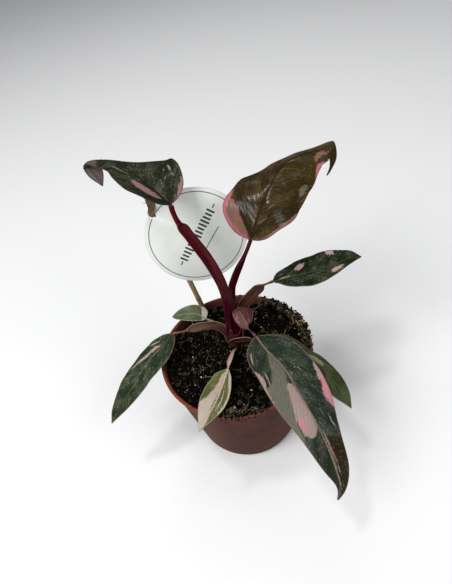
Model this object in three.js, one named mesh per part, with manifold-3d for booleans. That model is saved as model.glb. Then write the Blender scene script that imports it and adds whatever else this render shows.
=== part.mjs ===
// A young variegated philodendron in its nursery pot, with a round card label tied to a bamboo stake.
// Millimetres, +Z up. The origin is the middle of the pot's underside, and -Y is the pot's front.
import * as THREE from "three";
import { mergeVertices } from "three/addons/utils/BufferGeometryUtils.js";
import Module from "manifold-3d";

const wasm = await Module();
wasm.setup();

// Driving dimensions of the pot
const pot = {
  height: 95,
  rimRadius: 60,
  lipHeight: 2.6,
  lipWidth: 2.6,
  footRadius: 43,
  footHeight: 6,
  footInset: 0.8,
  wall: 1.3,
  floor: 1.6,
  edgeRound: 1.2,
  holes: 8,
  holeRadius: 3.5,
  holeCircle: 30,
  segments: 40,
};

// Peat: how high it stands in the middle, how it slopes up to the front, and its lumps
const peat = {
  top: 90.5,
  slope: -0.045,
  lump: 1.1,
  rings: 7,
};

// The short stem in the middle of the pot, mostly buried
const stem = {
  foot: [0, 6, 60],
  top: [0.5, 11, 96],
  radius: 6,
};

// Stake and label
const stake = {
  low: [-8.6, 37, 33],
  high: [-40.9, 73.6, 202.6],
  radius: 2.3,
};

// The label's middle, measured along the stake and then sideways from it,
// and the hole near its edge, measured from that middle
const label = {
  alongStake: 131.9,
  sideways: 20.8,
  radius: 40,
  thickness: 0.9,
  holeSide: -23.8,
  holeUp: 28.1,
  holeRadius: 2.2,
  segments: 48,
};

// Jute cord: turns round the stake above the label, and a loop down through the hole
const tie = {
  firstTurn: 38.6,
  turns: 3,
  cordRadius: 1,
  bandWidth: 5.6,
  strandRadius: 0.6,
};

const clearance = 0.3; // gap between pieces that touch
const bladeThickness = 0.9;
const bladeBow = -15; // degrees that each half of a blade curves down over its width
const lobeReach = 0.3; // part of the midrib over which the base lobes sweep back

// Each leaf has a blade and the petiole that carries it.
// midrib: points from the petiole's end to the tip. face: which way the upper side looks at the base.
// sections: [place along the midrib, left width, left lift, right width, right lift, roll],
// with widths from the midrib in mm, lifts and roll in degrees, and left as seen from the base.
// stalk: points from the stem to the blade. girths: [place along it, half width, half thickness].
const leaves = {
  back_left: {
    midrib: [
      [-24, 46, 208], [-32, 57, 213], [-40, 68, 217], [-55, 89, 222], [-74, 107, 220],
      [-84, 115, 216], [-88, 118, 209], [-84, 110, 204], [-76, 100, 201],
    ],
    face: [0, 0, 1],
    lobe: 8,
    sections: [
      [0, 1, 25, 1, 0, 0], [0.04, 8, 25, 12, 5, 0], [0.12, 15, 24, 23, 24, 0],
      [0.2, 18, 18, 26, 20, 0], [0.28, 18, 16, 24, 5, 0], [0.36, 16, 12, 19, -10, 0],
      [0.45, 12, 2, 15, -26, 0], [0.62, 8, -12, 13, -33, 0], [0.78, 5, -10, 12, -30, 4],
      [0.9, 4, 5, 8, -14, 8], [1, 0.4, 5, 0.4, 0, 5],
    ],
    stalk: [
      [-2.5, 9, 90], [-1.4, 15, 110], [-0.3, 22.5, 126], [-0.6, 25.5, 137], [-2.5, 28, 147],
      [-8, 32.5, 164], [-15.7, 37.7, 181], [-21.6, 41.5, 194.4], [-23.6, 44, 203], [-24, 46, 208],
    ],
    girths: [
      [0, 2.6, 2], [0.25, 3.3, 2.1], [0.45, 4, 2.1], [0.6, 4.3, 2], [0.76, 3.7, 1.8],
      [0.85, 2.3, 1.5], [0.9, 1.4, 1.4], [1, 1.4, 1.3],
    ],
  },
  back_right: {
    midrib: [
      [25.4, 20.2, 184.4], [35, 32, 198.5], [45.5, 43, 208.5], [58, 52.5, 218], [80, 58, 219.5],
      [92.5, 55, 222.5], [93.8, 53, 214.5], [90, 50, 208], [85.5, 43, 208],
    ],
    face: [-0.5, -0.3, 0.8],
    lobe: 10,
    sections: [
      [0, 1, -20, 1, 25, -20], [0.04, 14, -6, 14, 16, -12], [0.12, 25.5, 6, 24, 12, 2],
      [0.28, 25.7, 0, 25.7, -20, 11], [0.45, 23.2, -32, 27, -21, 4], [0.62, 17.5, -26, 21, -3, -1],
      [0.8, 9.2, -21, 13.5, 0, -1], [0.92, 2.2, 0, 4, 3, 2], [1, 0.3, 8, 0.3, 8, 1],
    ],
    stalk: [
      [3.5, 10, 90], [4.6, 15, 110], [5, 23, 126], [6.5, 25.5, 137], [9.3, 25, 145.6],
      [13.3, 23.6, 156], [17.7, 21.8, 166.3], [21.8, 20.6, 175.7], [25.5, 20, 185],
    ],
    girths: [
      [0, 2.4, 2], [0.3, 2.7, 2.1], [0.6, 2.9, 1.9], [0.74, 2.5, 1.7], [0.84, 1.6, 1.5],
      [1, 1.4, 1.3],
    ],
  },
  right: {
    midrib: [[38, 21, 140], [57, 20, 142], [75, 19, 145], [93, 20, 148], [106, 23, 145]],
    face: [0, 0, 1],
    lobe: 3,
    sections: [
      [0, 0.8, 13, 0.8, 17, -4], [0.05, 6, 10, 6, 22, -6], [0.14, 10, 7, 11, 12, -3],
      [0.28, 13, 8, 13, 6, 2], [0.45, 13, 12, 13, 3, 7], [0.62, 12, 22, 10, 5, 12],
      [0.8, 8, 24, 6, 10, 11], [0.92, 5, 24, 2.5, 12, 11], [1, 0.4, 20, 0.4, 12, 9],
    ],
    stalk: [
      [5, 15, 92], [8.7, 24, 104], [13.6, 27.3, 114], [19.4, 28, 121], [26.5, 28, 128],
      [31.3, 26, 133], [38, 21, 140],
    ],
    girths: [
      [0, 2, 1.6], [0.2, 2.8, 1.7], [0.4, 3.6, 1.7], [0.65, 3.6, 1.6], [0.78, 3, 1.4],
      [0.84, 1.3, 1.2], [1, 1.2, 1.1],
    ],
  },
  front_right: {
    midrib: [
      [17.4, -2, 108], [22, -18, 111], [31, -39, 113], [37, -58, 107], [44, -77, 96],
      [50, -98, 75], [51, -108, 60], [48, -113, 55],
    ],
    face: [0, -0.1, 1],
    lobe: 8,
    sections: [
      [0, 0.8, 7, 0.8, 5, 2], [0.04, 7, 2, 7, 0, 3], [0.12, 16, 4, 15, 4, 1],
      [0.28, 20, 5, 20.5, 6, 0], [0.45, 20, 10, 19.5, 6, 2], [0.62, 17, -6, 15.5, 6, -3],
      [0.8, 11, -10, 9.5, 5, -4], [0.92, 4.5, 12, 3, 4, 6], [1, 0.4, 12, 0.4, 6, 6],
    ],
    stalk: [
      [5, 10, 91], [9, 17, 103], [10, 19, 112], [10.5, 12, 116.5], [11, 6, 115.5],
      [13.5, 2, 112], [17.4, -2, 108],
    ],
    girths: [
      [0, 2, 1.6], [0.3, 3.6, 1.8], [0.5, 5.5, 1.8], [0.66, 5, 1.7], [0.74, 1.9, 1.4],
      [1, 1.4, 1.2],
    ],
  },
  under_right: {
    midrib: [
      [14.5, 0, 99.5], [34, -10.5, 106], [52.4, -26.3, 104.2], [66.6, -41.5, 88], [77, -52.5, 64],
    ],
    face: [0.2, 0, 1],
    lobe: 4,
    sections: [
      [0, 0.7, 2, 0.7, 5, -5], [0.05, 7, 1, 7, 5, -6], [0.12, 11, -4, 11, 5, -9],
      [0.28, 14, -12, 14, 4, -13], [0.45, 13.5, -22, 13.5, 3, -16], [0.62, 10.5, -9, 11, 2, -8],
      [0.8, 7.5, 4, 8.5, -3, 2], [0.92, 4.5, 12, 3.5, 0, 6], [1, 0.4, 10, 0.4, 4, 5],
    ],
    stalk: [[4, 5, 91], [8.5, 3, 96], [14.5, 0, 99.5]],
    girths: [[0, 1.7, 1.4], [0.5, 1.6, 1.3], [1, 1.2, 1.1]],
  },
  left: {
    midrib: [
      [-47, 18, 108], [-54, 11, 106.5], [-68, 3, 101], [-85, -9, 87], [-99, -17.5, 74],
      [-109, -23, 63],
    ],
    face: [-0.3, 0, 1],
    lobe: 4,
    sections: [
      [0, 0.7, 12, 0.7, 9, 2], [0.05, 7, 10, 6.5, 6, 2], [0.12, 11, -2, 10, 1, -2],
      [0.28, 14, -10, 12.5, -7, -3], [0.45, 13, -2, 12, 2, -5], [0.62, 10.5, 2, 10.5, 14, -10],
      [0.8, 6.5, 3, 7, 20, -12], [0.92, 3, 8, 4, 20, -11], [1, 0.4, 10, 0.4, 18, -9],
    ],
    stalk: [
      [-3, 10, 91], [-4.5, 16, 100], [-11.6, 19.8, 105], [-20.3, 19.9, 107], [-29, 18.7, 108.5],
      [-38, 17, 109], [-47, 18, 108],
    ],
    girths: [
      [0, 2, 1.6], [0.2, 2.4, 1.6], [0.5, 2.6, 1.5], [0.72, 2.4, 1.4], [0.8, 1.3, 1.2],
      [1, 1.2, 1.1],
    ],
  },
  small_left: {
    midrib: [[-19, 31, 103], [-27, 36, 106.5], [-37, 38, 106.5], [-46.5, 39, 104.5]],
    face: [0, -0.5, 1],
    lobe: 2,
    sections: [
      [0, 0.6, 15, 0.6, 12, 3], [0.06, 3, 18, 5, 13, 4], [0.14, 5, 17, 7, 12, 4],
      [0.28, 7, 13, 7.5, 12, 1], [0.45, 7, 10, 6.8, 12, -1], [0.62, 6, 9, 5.6, 13, -2],
      [0.8, 4.2, 9, 3.6, 13, -3], [0.92, 2.4, 10, 1.8, 13, -2], [1, 0.3, 11, 0.3, 12, -2],
    ],
    stalk: [[-2, 14, 91], [-7, 22.5, 98], [-12.9, 26.5, 102], [-19, 31, 103]],
    girths: [[0, 1.3, 1.2], [0.5, 1.2, 1.1], [1, 0.9, 0.9]],
  },
  small_front: {
    midrib: [
      [-8.5, -20, 99.5], [-13, -30, 99.5], [-20, -44, 99.5], [-28, -55, 97.5], [-36, -63, 93],
    ],
    face: [0, -0.1, 1],
    lobe: 2,
    sections: [
      [0, 0.5, 16, 0.5, 14, 1], [0.05, 2, 18, 3, 17, 1], [0.12, 4.5, 21, 7, 14, 3],
      [0.28, 7.5, 19, 10, 15, 2], [0.45, 8.5, 11, 11.3, 15, -2], [0.62, 7.5, 6, 11, 14, -5],
      [0.8, 4, 7, 7.5, 14, -5], [0.92, 1.5, 12, 3.5, 13, -2], [1, 0.3, 12, 0.3, 13, -2],
    ],
    stalk: [[0.5, 3, 91], [-2.4, -2.8, 96], [-5.8, -12, 99], [-8.5, -20, 99.5]],
    girths: [[0, 1.6, 1.3], [0.3, 3.2, 1.2], [0.6, 2.8, 1.1], [0.84, 0.9, 0.9], [1, 0.8, 0.8]],
  },
};

// Sheath left by older leaves, wrapped round the foot of the petioles,
// and open at the back between the two angles of `opening`, in degrees
const sheath = {
  centre: [0.6, 12],
  opening: [35, 150],
  low: 89,
  high: 97,
  inner: 8.2,
  outer: 9,
  segments: 14,
};

// Plain maths

const radians = THREE.MathUtils.degToRad;

function vector(place) {
  return new THREE.Vector3(...place);
}

// The slope of column `column` at row `k`: the mean of the slopes on both sides, nearer rows first
function slopeAt(rows, column, k) {
  const rise = (i) => (rows[i + 1][column] - rows[i][column]) / (rows[i + 1][0] - rows[i][0]);
  if (k === 0 || k === rows.length - 1) {
    return rise(Math.min(k, rows.length - 2));
  }
  const before = rows[k][0] - rows[k - 1][0];
  const after = rows[k + 1][0] - rows[k][0];
  return (rise(k) * before + rise(k - 1) * after) / (before + after);
}

// A smooth curve through column `column` of rows whose first number is the place along it
function eased(rows, column, place) {
  let k = 0;
  while (k < rows.length - 2 && place > rows[k + 1][0]) {
    k += 1;
  }
  const span = rows[k + 1][0] - rows[k][0];
  const t = (place - rows[k][0]) / span;
  return (
    rows[k][column] * (1 + t * t * (2 * t - 3)) +
    rows[k + 1][column] * t * t * (3 - 2 * t) +
    span * slopeAt(rows, column, k) * t * (1 - t) * (1 - t) -
    span * slopeAt(rows, column, k + 1) * t * t * (1 - t)
  );
}

// Points on a curve, each with its tangent and an upward normal that turns as little as it can
function framesAlong(points, places, face) {
  const curve = new THREE.CatmullRomCurve3(points.map(vector), false, "centripetal");
  const up = vector(face);
  return places.map((place) => {
    const tangent = curve.getTangentAt(place);
    up.addScaledVector(tangent, -up.dot(tangent)).normalize();
    return { at: curve.getPointAt(place), tangent, up: up.clone() };
  });
}

// Places from 0 to 1, closer together at both ends
function placesAlong(count) {
  const crowding = 0.06;
  return Array.from({ length: count }, (_, k) => {
    const t = k / (count - 1);
    return t - crowding * Math.sin(2 * Math.PI * t);
  });
}

function geometryOf(points, faces) {
  const geometry = new THREE.BufferGeometry();
  geometry.setAttribute("position", new THREE.Float32BufferAttribute(points.flatMap((p) => p.toArray()), 3));
  geometry.setIndex(faces.flat());
  return geometry;
}

// Solids and cuts

function solidOf(geometry) {
  const bare = geometry.clone();
  bare.deleteAttribute("normal");
  bare.deleteAttribute("uv");
  const merged = mergeVertices(bare, 1e-4);
  return new wasm.Manifold(
    new wasm.Mesh({
      numProp: 3,
      vertProperties: new Float32Array(merged.attributes.position.array),
      triVerts: new Uint32Array(merged.index.array),
    }),
  );
}

function geometryFrom(solid) {
  const mesh = solid.getMesh();
  const geometry = new THREE.BufferGeometry();
  geometry.setAttribute("position", new THREE.BufferAttribute(mesh.vertProperties, 3));
  geometry.setIndex(new THREE.BufferAttribute(mesh.triVerts, 1));
  return geometry;
}

function largest(solid) {
  return solid.decompose().reduce((best, one) => (one.volume() > best.volume() ? one : best));
}

// Leaf blades

// The middle surface of a blade as rows of points from its left edge to its right edge
function bladeRows(leaf, rowCount, halfColumns) {
  const places = placesAlong(rowCount);
  const frames = framesAlong(leaf.midrib, places, leaf.face);
  const widest = Math.max(...leaf.sections.map((section) => Math.max(section[1], section[3])));
  return frames.map(({ at, tangent, up }, row) => {
    const place = places[row];
    const roll = radians(eased(leaf.sections, 5, place));
    const side = tangent.clone().cross(up);
    const normal = up.clone().multiplyScalar(Math.cos(roll)).addScaledVector(side, Math.sin(roll));
    const right = tangent.clone().cross(normal);
    const back = leaf.lobe * Math.max(1 - place / lobeReach, 0) ** 2;
    const points = [];
    for (let column = -halfColumns; column <= halfColumns; column += 1) {
      const hand = Math.sign(column);
      const width = Math.max(eased(leaf.sections, hand < 0 ? 1 : 3, place), 0.2);
      const lift = radians(eased(leaf.sections, hand < 0 ? 2 : 4, place) - bladeBow / 2);
      const share = Math.abs(column) / halfColumns;
      const [out, rise] = arcPoint(width * share, lift, radians(bladeBow) * share);
      points.push(
        at
          .clone()
          .addScaledVector(right, hand * out)
          .addScaledVector(normal, rise)
          .addScaledVector(tangent, (-back * width * share * share) / widest),
      );
    }
    return points;
  });
}

// Where an arc of this length ends, leaving at angle `start` and turning by `turn`
function arcPoint(length, start, turn) {
  if (Math.abs(turn) < 1e-6) {
    return [length * Math.cos(start), length * Math.sin(start)];
  }
  const radius = length / turn;
  return [
    radius * (Math.sin(start + turn) - Math.sin(start)),
    radius * (Math.cos(start) - Math.cos(start + turn)),
  ];
}

// A closed sheet of even thickness on both sides of rows of points
function sheetSolid(rows, thickness) {
  const [height, width] = [rows.length, rows[0].length];
  const points = [];
  for (const hand of [0.5, -0.5]) {
    for (let i = 0; i < height; i += 1) {
      for (let j = 0; j < width; j += 1) {
        const along = rows[Math.min(i + 1, height - 1)][j].clone().sub(rows[Math.max(i - 1, 0)][j]);
        const across = rows[i][Math.min(j + 1, width - 1)].clone().sub(rows[i][Math.max(j - 1, 0)]);
        const normal = across.cross(along).normalize();
        points.push(rows[i][j].clone().addScaledVector(normal, hand * thickness));
      }
    }
  }
  const index = (i, j, side) => side * height * width + i * width + j;
  const faces = [];
  const quad = (a, b, c, d) => faces.push([a, b, c], [a, c, d]);
  for (let i = 0; i < height - 1; i += 1) {
    for (let j = 0; j < width - 1; j += 1) {
      quad(index(i, j, 0), index(i, j + 1, 0), index(i + 1, j + 1, 0), index(i + 1, j, 0));
      quad(index(i, j, 1), index(i + 1, j, 1), index(i + 1, j + 1, 1), index(i, j + 1, 1));
    }
    quad(index(i, 0, 0), index(i + 1, 0, 0), index(i + 1, 0, 1), index(i, 0, 1));
    quad(index(i, width - 1, 0), index(i, width - 1, 1), index(i + 1, width - 1, 1), index(i + 1, width - 1, 0));
  }
  for (let j = 0; j < width - 1; j += 1) {
    quad(index(0, j, 0), index(0, j, 1), index(0, j + 1, 1), index(0, j + 1, 0));
    quad(index(height - 1, j, 0), index(height - 1, j + 1, 0), index(height - 1, j + 1, 1), index(height - 1, j, 1));
  }
  return solidOf(geometryOf(points, faces));
}

function bladeSolid(leaf) {
  const widest = Math.max(...leaf.sections.map((section) => section[1]));
  const large = widest > 15;
  const rows = bladeRows(leaf, large ? 20 : 14, large ? 4 : 3);
  return sheetSolid(rows, bladeThickness);
}

// Petioles, stem and stake

// A closed tube whose sections are ovals; `grow` thickens it all over
function ovalTube(points, girths, face, stations, sides, grow = 0) {
  const places = Array.from({ length: stations }, (_, k) => k / (stations - 1));
  const frames = framesAlong(points, places, face);
  frames[0].at.addScaledVector(frames[0].tangent, -grow);
  frames[stations - 1].at.addScaledVector(frames[stations - 1].tangent, grow);
  const rings = frames.map(({ at, tangent, up }, k) => {
    const side = tangent.clone().cross(up);
    const halfWidth = eased(girths, 1, places[k]) + grow;
    const halfThickness = eased(girths, 2, places[k]) + grow;
    return Array.from({ length: sides }, (_, j) => {
      const angle = (2 * Math.PI * j) / sides;
      return at
        .clone()
        .addScaledVector(side, Math.cos(angle) * halfWidth)
        .addScaledVector(up, Math.sin(angle) * halfThickness);
    });
  });
  const vertices = [...rings.flat(), frames[0].at, frames[stations - 1].at];
  const [first, last] = [rings.length * sides, rings.length * sides + 1];
  const faces = [];
  for (let j = 0; j < sides; j += 1) {
    const next = (j + 1) % sides;
    for (let k = 0; k < stations - 1; k += 1) {
      const [low, high] = [k * sides, (k + 1) * sides];
      faces.push([low + j, high + next, low + next], [low + j, high + j, high + next]);
    }
    const end = (stations - 1) * sides;
    faces.push([first, j, next], [last, end + next, end + j]);
  }
  return solidOf(geometryOf(vertices, faces));
}

function petioleSolid(leaf, grow = 0) {
  const stations = Math.max(9, Math.round(leaf.stalk.length * 2.2));
  return ovalTube(leaf.stalk, leaf.girths, [0, -1, 0.2], stations, 8, grow);
}

function stemSolid(grow = 0) {
  const middle = vector(stem.foot).lerp(vector(stem.top), 0.5).toArray();
  const girths = [
    [0, stem.radius * 0.7, stem.radius * 0.7],
    [0.6, stem.radius, stem.radius],
    [1, stem.radius * 0.8, stem.radius * 0.8],
  ];
  return ovalTube([stem.foot, middle, stem.top], girths, [0, -1, 0], 7, 14, grow);
}

function stakeSolid(grow = 0) {
  const middle = vector(stake.low).lerp(vector(stake.high), 0.5).toArray();
  const girths = [
    [0, stake.radius, stake.radius],
    [1, stake.radius, stake.radius],
  ];
  return ovalTube([stake.low, middle, stake.high], girths, [0, -1, 0], 3, 12, grow);
}

// Pot and peat

const lipFoot = pot.height - pot.lipHeight;

function outerRadius(height) {
  const upper = pot.rimRadius - pot.lipWidth + pot.wall * 0.5;
  return pot.footRadius + ((upper - pot.footRadius) * height) / lipFoot;
}

// The inside of the wall, which is straight from the floor to the lip
function innerRadius(height) {
  const lower = outerRadius(pot.floor) - pot.footInset - pot.wall;
  const upper = outerRadius(lipFoot) - pot.wall;
  return lower + ((upper - lower) * (height - pot.floor)) / (lipFoot - pot.floor);
}

function potSolid() {
  const { height, rimRadius, lipHeight, footHeight, footInset, floor, edgeRound } = pot;
  const profile = [
    [0, 0],
    [outerRadius(0) - footInset - edgeRound, 0],
    [outerRadius(0) - footInset, edgeRound],
    [outerRadius(footHeight) - footInset, footHeight - footInset],
    [outerRadius(footHeight), footHeight],
    [outerRadius(lipFoot), lipFoot],
    [rimRadius - lipHeight * 0.2, lipFoot],
    [rimRadius, lipFoot + lipHeight * 0.3],
    [rimRadius, height - lipHeight * 0.3],
    [rimRadius - lipHeight * 0.25, height],
    [rimRadius - pot.lipWidth, height],
    [innerRadius(lipFoot), lipFoot],
    [innerRadius(floor), floor],
    [0, floor],
  ].map(([radius, z]) => new THREE.Vector2(radius, z));
  const turned = new THREE.LatheGeometry(profile, pot.segments);
  turned.rotateX(Math.PI / 2);
  let solid = solidOf(turned);
  for (let k = 0; k < pot.holes; k += 1) {
    const angle = (2 * Math.PI * (k + 0.5)) / pot.holes;
    const hole = new THREE.CylinderGeometry(pot.holeRadius, pot.holeRadius, floor * 4, 10);
    hole.rotateX(Math.PI / 2);
    hole.translate(pot.holeCircle * Math.cos(angle), pot.holeCircle * Math.sin(angle), floor / 2);
    solid = solid.subtract(solidOf(hole));
  }
  return solid;
}

function peatTop(x, y) {
  const waves =
    Math.sin(x * 0.21 + 1) * Math.cos(y * 0.17) +
    0.6 * Math.sin(x * 0.37 - y * 0.29) +
    0.4 * Math.cos(y * 0.5 + x * 0.13);
  return peat.top + peat.slope * y + peat.lump * waves * 0.6;
}

// Rings of points out to the wall, then down the wall to the pot's floor
function peatSolid() {
  const { rings } = peat;
  const { segments } = pot;
  const bottom = pot.floor + clearance;
  const insideAt = (z) => innerRadius(z) - clearance;
  const points = [];
  const ring = (radius, heightAt) => {
    for (let k = 0; k < segments; k += 1) {
      const angle = (2 * Math.PI * k) / segments;
      const [x, y] = [radius * Math.cos(angle), radius * Math.sin(angle)];
      points.push(new THREE.Vector3(x, y, heightAt(x, y)));
    }
  };
  points.push(new THREE.Vector3(0, 0, peatTop(0, 0)));
  const edge = insideAt(peat.top - 3);
  for (let k = 1; k <= rings; k += 1) {
    ring((edge * k) / rings, peatTop);
  }
  ring(insideAt(bottom), () => bottom);
  points.push(new THREE.Vector3(0, 0, bottom));
  const faces = [];
  const ringStart = (k) => 1 + k * segments;
  const ringCount = rings + 1;
  for (let j = 0; j < segments; j += 1) {
    const next = (j + 1) % segments;
    faces.push([0, ringStart(0) + j, ringStart(0) + next]);
    for (let k = 0; k < ringCount - 1; k += 1) {
      const [inner, outer] = [ringStart(k), ringStart(k + 1)];
      faces.push([inner + j, outer + j, outer + next], [inner + j, outer + next, inner + next]);
    }
    const last = ringStart(ringCount - 1);
    faces.push([points.length - 1, last + next, last + j]);
  }
  return solidOf(geometryOf(points, faces));
}

// Label and tie

// The label lies flat along the stake, just in front of it; its frame starts at the label's middle
function labelFrame() {
  const up = vector(stake.high).sub(vector(stake.low)).normalize();
  const front = new THREE.Vector3(0, -1, 0.2).projectOnPlane(up).normalize();
  const side = up.clone().cross(front);
  const matrix = new THREE.Matrix4().makeBasis(side, up, front);
  const middle = vector(stake.low)
    .addScaledVector(up, label.alongStake)
    .addScaledVector(side, label.sideways)
    .addScaledVector(front, stake.radius + clearance + label.thickness / 2);
  return matrix.setPosition(middle);
}

function labelSolid(grow = 0) {
  const { holeSide, holeUp, holeRadius, thickness, segments } = label;
  const round = new THREE.Shape().absarc(0, 0, label.radius + grow, 0, 2 * Math.PI);
  round.holes.push(new THREE.Path().absarc(holeSide, holeUp, holeRadius - grow, 0, 2 * Math.PI, true));
  const card = new THREE.ExtrudeGeometry(round, {
    depth: thickness + 2 * grow,
    bevelEnabled: false,
    curveSegments: segments / 2,
  });
  card.translate(0, 0, -thickness / 2 - grow).applyMatrix4(labelFrame());
  return solidOf(card);
}

// Turns of cord round the stake above the label, a flat band of fibres from them down to the
// label's hole, and a strand from there back up behind the label
function tieSolid() {
  const frame = labelFrame();
  const behind = -(stake.radius + clearance + label.thickness / 2); // the stake's axis
  const turnRadius = stake.radius + clearance + tie.cordRadius;
  const offCard = label.thickness / 2 + clearance + tie.strandRadius;
  const placed = (points) => points.map((place) => vector(place).applyMatrix4(frame).toArray());
  const band = placed([
    [-label.sideways, tie.firstTurn + 1.4, offCard],
    [-label.sideways - 1, tie.firstTurn - 3.5, offCard + 0.4],
    [label.holeSide + 0.2, label.holeUp + 2.6, offCard + 0.2],
    [label.holeSide, label.holeUp - 0.4, offCard],
  ]);
  const strand = placed([
    [label.holeSide, label.holeUp + 0.4, offCard],
    [label.holeSide, label.holeUp, 0],
    [label.holeSide - 0.6, label.holeUp + 3, -offCard],
    [-label.sideways - turnRadius, tie.firstTurn + 1.4, behind + 0.8],
  ]);
  const bandGirths = [
    [0, tie.bandWidth / 2, tie.strandRadius],
    [0.6, tie.bandWidth / 2, tie.strandRadius],
    [1, tie.strandRadius * 2, tie.strandRadius],
  ];
  const strandGirths = [
    [0, tie.strandRadius, tie.strandRadius],
    [1, tie.strandRadius, tie.strandRadius],
  ];
  let solid = ovalTube(band, bandGirths, [0, -1, 0.2], 6, 8);
  solid = solid.add(ovalTube(strand, strandGirths, [1, 0, 0], 8, 5));
  for (let k = 0; k < tie.turns; k += 1) {
    const turn = new THREE.TorusGeometry(turnRadius, tie.cordRadius, 5, 12);
    turn.rotateX(Math.PI / 2);
    turn.translate(-label.sideways, tie.firstTurn + k * tie.cordRadius * 1.5, behind);
    solid = solid.add(solidOf(turn.applyMatrix4(frame)));
  }
  return solid;
}

function sheathSolid(grow = 0) {
  const { centre, low, high, inner, outer, segments, opening } = sheath;
  const [start, end] = [radians(opening[1]) - grow / inner, radians(opening[0] + 360) + grow / inner];
  const shape = new THREE.Shape().absarc(0, 0, outer + grow, start, end);
  shape.absarc(0, 0, inner - grow, end, start, true);
  const wrap = new THREE.ExtrudeGeometry(shape, {
    depth: high - low + grow * 2,
    bevelEnabled: false,
    curveSegments: segments,
  });
  wrap.translate(centre[0], centre[1], low - grow);
  return solidOf(wrap);
}

// Materials

function surface(colour, roughness) {
  return new THREE.MeshStandardMaterial({ color: colour, roughness, metalness: 0 });
}

const finishes = {
  pot: surface(0x5f3329, 0.3),
  peat: surface(0x16130f, 0.95),
  stem: surface(0x3a2a1e, 0.7),
  petiole: surface(0x4a1620, 0.35),
  paleStalk: surface(0x8d7a68, 0.45),
  blade: surface(0x2b3a2c, 0.4),
  paleBlade: surface(0xb4b29a, 0.45),
  sheath: surface(0x45242a, 0.5),
  stake: surface(0x9a7a45, 0.6),
  label: surface(0xe8ece8, 0.5),
  tie: surface(0x8a7352, 0.9),
};

// Assembly

function piece(name, solid, material) {
  const mesh = new THREE.Mesh(geometryFrom(solid), material);
  mesh.name = name;
  return mesh;
}

function build() {
  const plant = new THREE.Group();
  const cutters = [stemSolid(clearance)];
  const clearOf = (solid, others) => largest(others.reduce((rest, other) => rest.subtract(other), solid));

  plant.add(piece("stem", stemSolid(), finishes.stem));
  for (const [name, leaf] of Object.entries(leaves)) {
    const small = name.startsWith("small");
    const stalk = clearOf(petioleSolid(leaf), cutters);
    plant.add(piece(`petiole_${name}`, stalk, small ? finishes.paleStalk : finishes.petiole));
    cutters.push(petioleSolid(leaf, clearance));
    const blade = clearOf(bladeSolid(leaf), [petioleSolid(leaf, clearance)]);
    plant.add(piece(`leaf_${name}`, blade, small ? finishes.paleBlade : finishes.blade));
  }
  const sheathed = clearOf(sheathSolid(), cutters);
  plant.add(piece("crown_sheath", sheathed, finishes.sheath));

  const buried = [...cutters, stakeSolid(clearance), sheathSolid(clearance)];
  plant.add(piece("pot", potSolid(), finishes.pot));
  plant.add(piece("soil", clearOf(peatSolid(), buried), finishes.peat));
  plant.add(piece("label_stake", stakeSolid(), finishes.stake));
  plant.add(piece("label_disc", labelSolid(), finishes.label));
  plant.add(piece("label_tie", clearOf(tieSolid(), [stakeSolid(clearance), labelSolid(clearance)]), finishes.tie));
  return plant;
}

export default build();
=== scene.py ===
import math

import bpy
import numpy as np
from mathutils import Matrix, Vector, noise


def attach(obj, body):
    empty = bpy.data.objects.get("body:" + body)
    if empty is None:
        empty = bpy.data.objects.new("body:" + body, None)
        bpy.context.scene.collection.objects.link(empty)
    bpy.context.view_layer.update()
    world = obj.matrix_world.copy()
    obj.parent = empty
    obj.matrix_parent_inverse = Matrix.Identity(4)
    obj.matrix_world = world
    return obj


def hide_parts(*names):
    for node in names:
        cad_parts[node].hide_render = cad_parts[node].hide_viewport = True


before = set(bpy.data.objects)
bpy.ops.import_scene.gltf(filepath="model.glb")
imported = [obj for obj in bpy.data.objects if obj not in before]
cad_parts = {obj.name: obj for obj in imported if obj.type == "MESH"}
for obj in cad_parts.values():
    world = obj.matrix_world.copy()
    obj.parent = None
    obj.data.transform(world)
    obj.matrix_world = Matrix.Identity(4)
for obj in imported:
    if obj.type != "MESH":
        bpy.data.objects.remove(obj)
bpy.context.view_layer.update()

# A young variegated philodendron in its nursery pot, with a round card label on a bamboo stake.
# Sizes are in millimetres and become metres where a mesh gets its points. Angles are in degrees.
mm = 0.001
chance = np.random.default_rng(11)  # all scatter is drawn from here


def paint(red, green, blue):
    # a colour as read off a screen, 0 to 255, made linear
    steps = [level / 255 for level in (red, green, blue)]
    return tuple(s / 12.92 if s < 0.04045 else ((s + 0.055) / 1.055) ** 2.4 for s in steps) + (1,)


def deselectAll():
    if bpy.context.mode != "OBJECT":
        bpy.ops.object.mode_set(mode="OBJECT")
    bpy.ops.object.select_all(action="DESELECT")


def pick(piece, *others):
    deselectAll()
    for chosen in (piece, *others):
        chosen.select_set(True)
    bpy.context.view_layer.objects.active = piece


def startEdit(piece):
    pick(piece)
    bpy.ops.object.mode_set(mode="EDIT")
    bpy.ops.mesh.select_all(action="SELECT")


def endEdit():
    # turns every face outward on the way out
    bpy.ops.mesh.select_all(action="SELECT")
    bpy.ops.mesh.normals_make_consistent(inside=False)
    bpy.ops.object.mode_set(mode="OBJECT")


def applyModifiers(piece):
    pick(piece)
    for modifier in list(piece.modifiers):
        bpy.ops.object.modifier_apply(modifier=modifier.name)


def smoothShade(piece, degrees):
    pick(piece)
    bpy.ops.object.shade_smooth_by_angle(angle=math.radians(degrees))


def finishPiece(piece, name, slotName, materials, *nodes):
    # names the piece, puts its place in its mesh, gives it its finish and ties it to the plant
    pick(piece)
    bpy.ops.object.transform_apply(location=True, rotation=True, scale=True)
    piece.name = piece.data.name = name
    if materials:
        piece.data.materials.clear()
        for material in materials:
            piece.data.materials.append(material)
    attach(piece, "root")
    if nodes:
        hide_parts(*nodes)
    print("made", name, len(piece.data.polygons), "faces")


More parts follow.
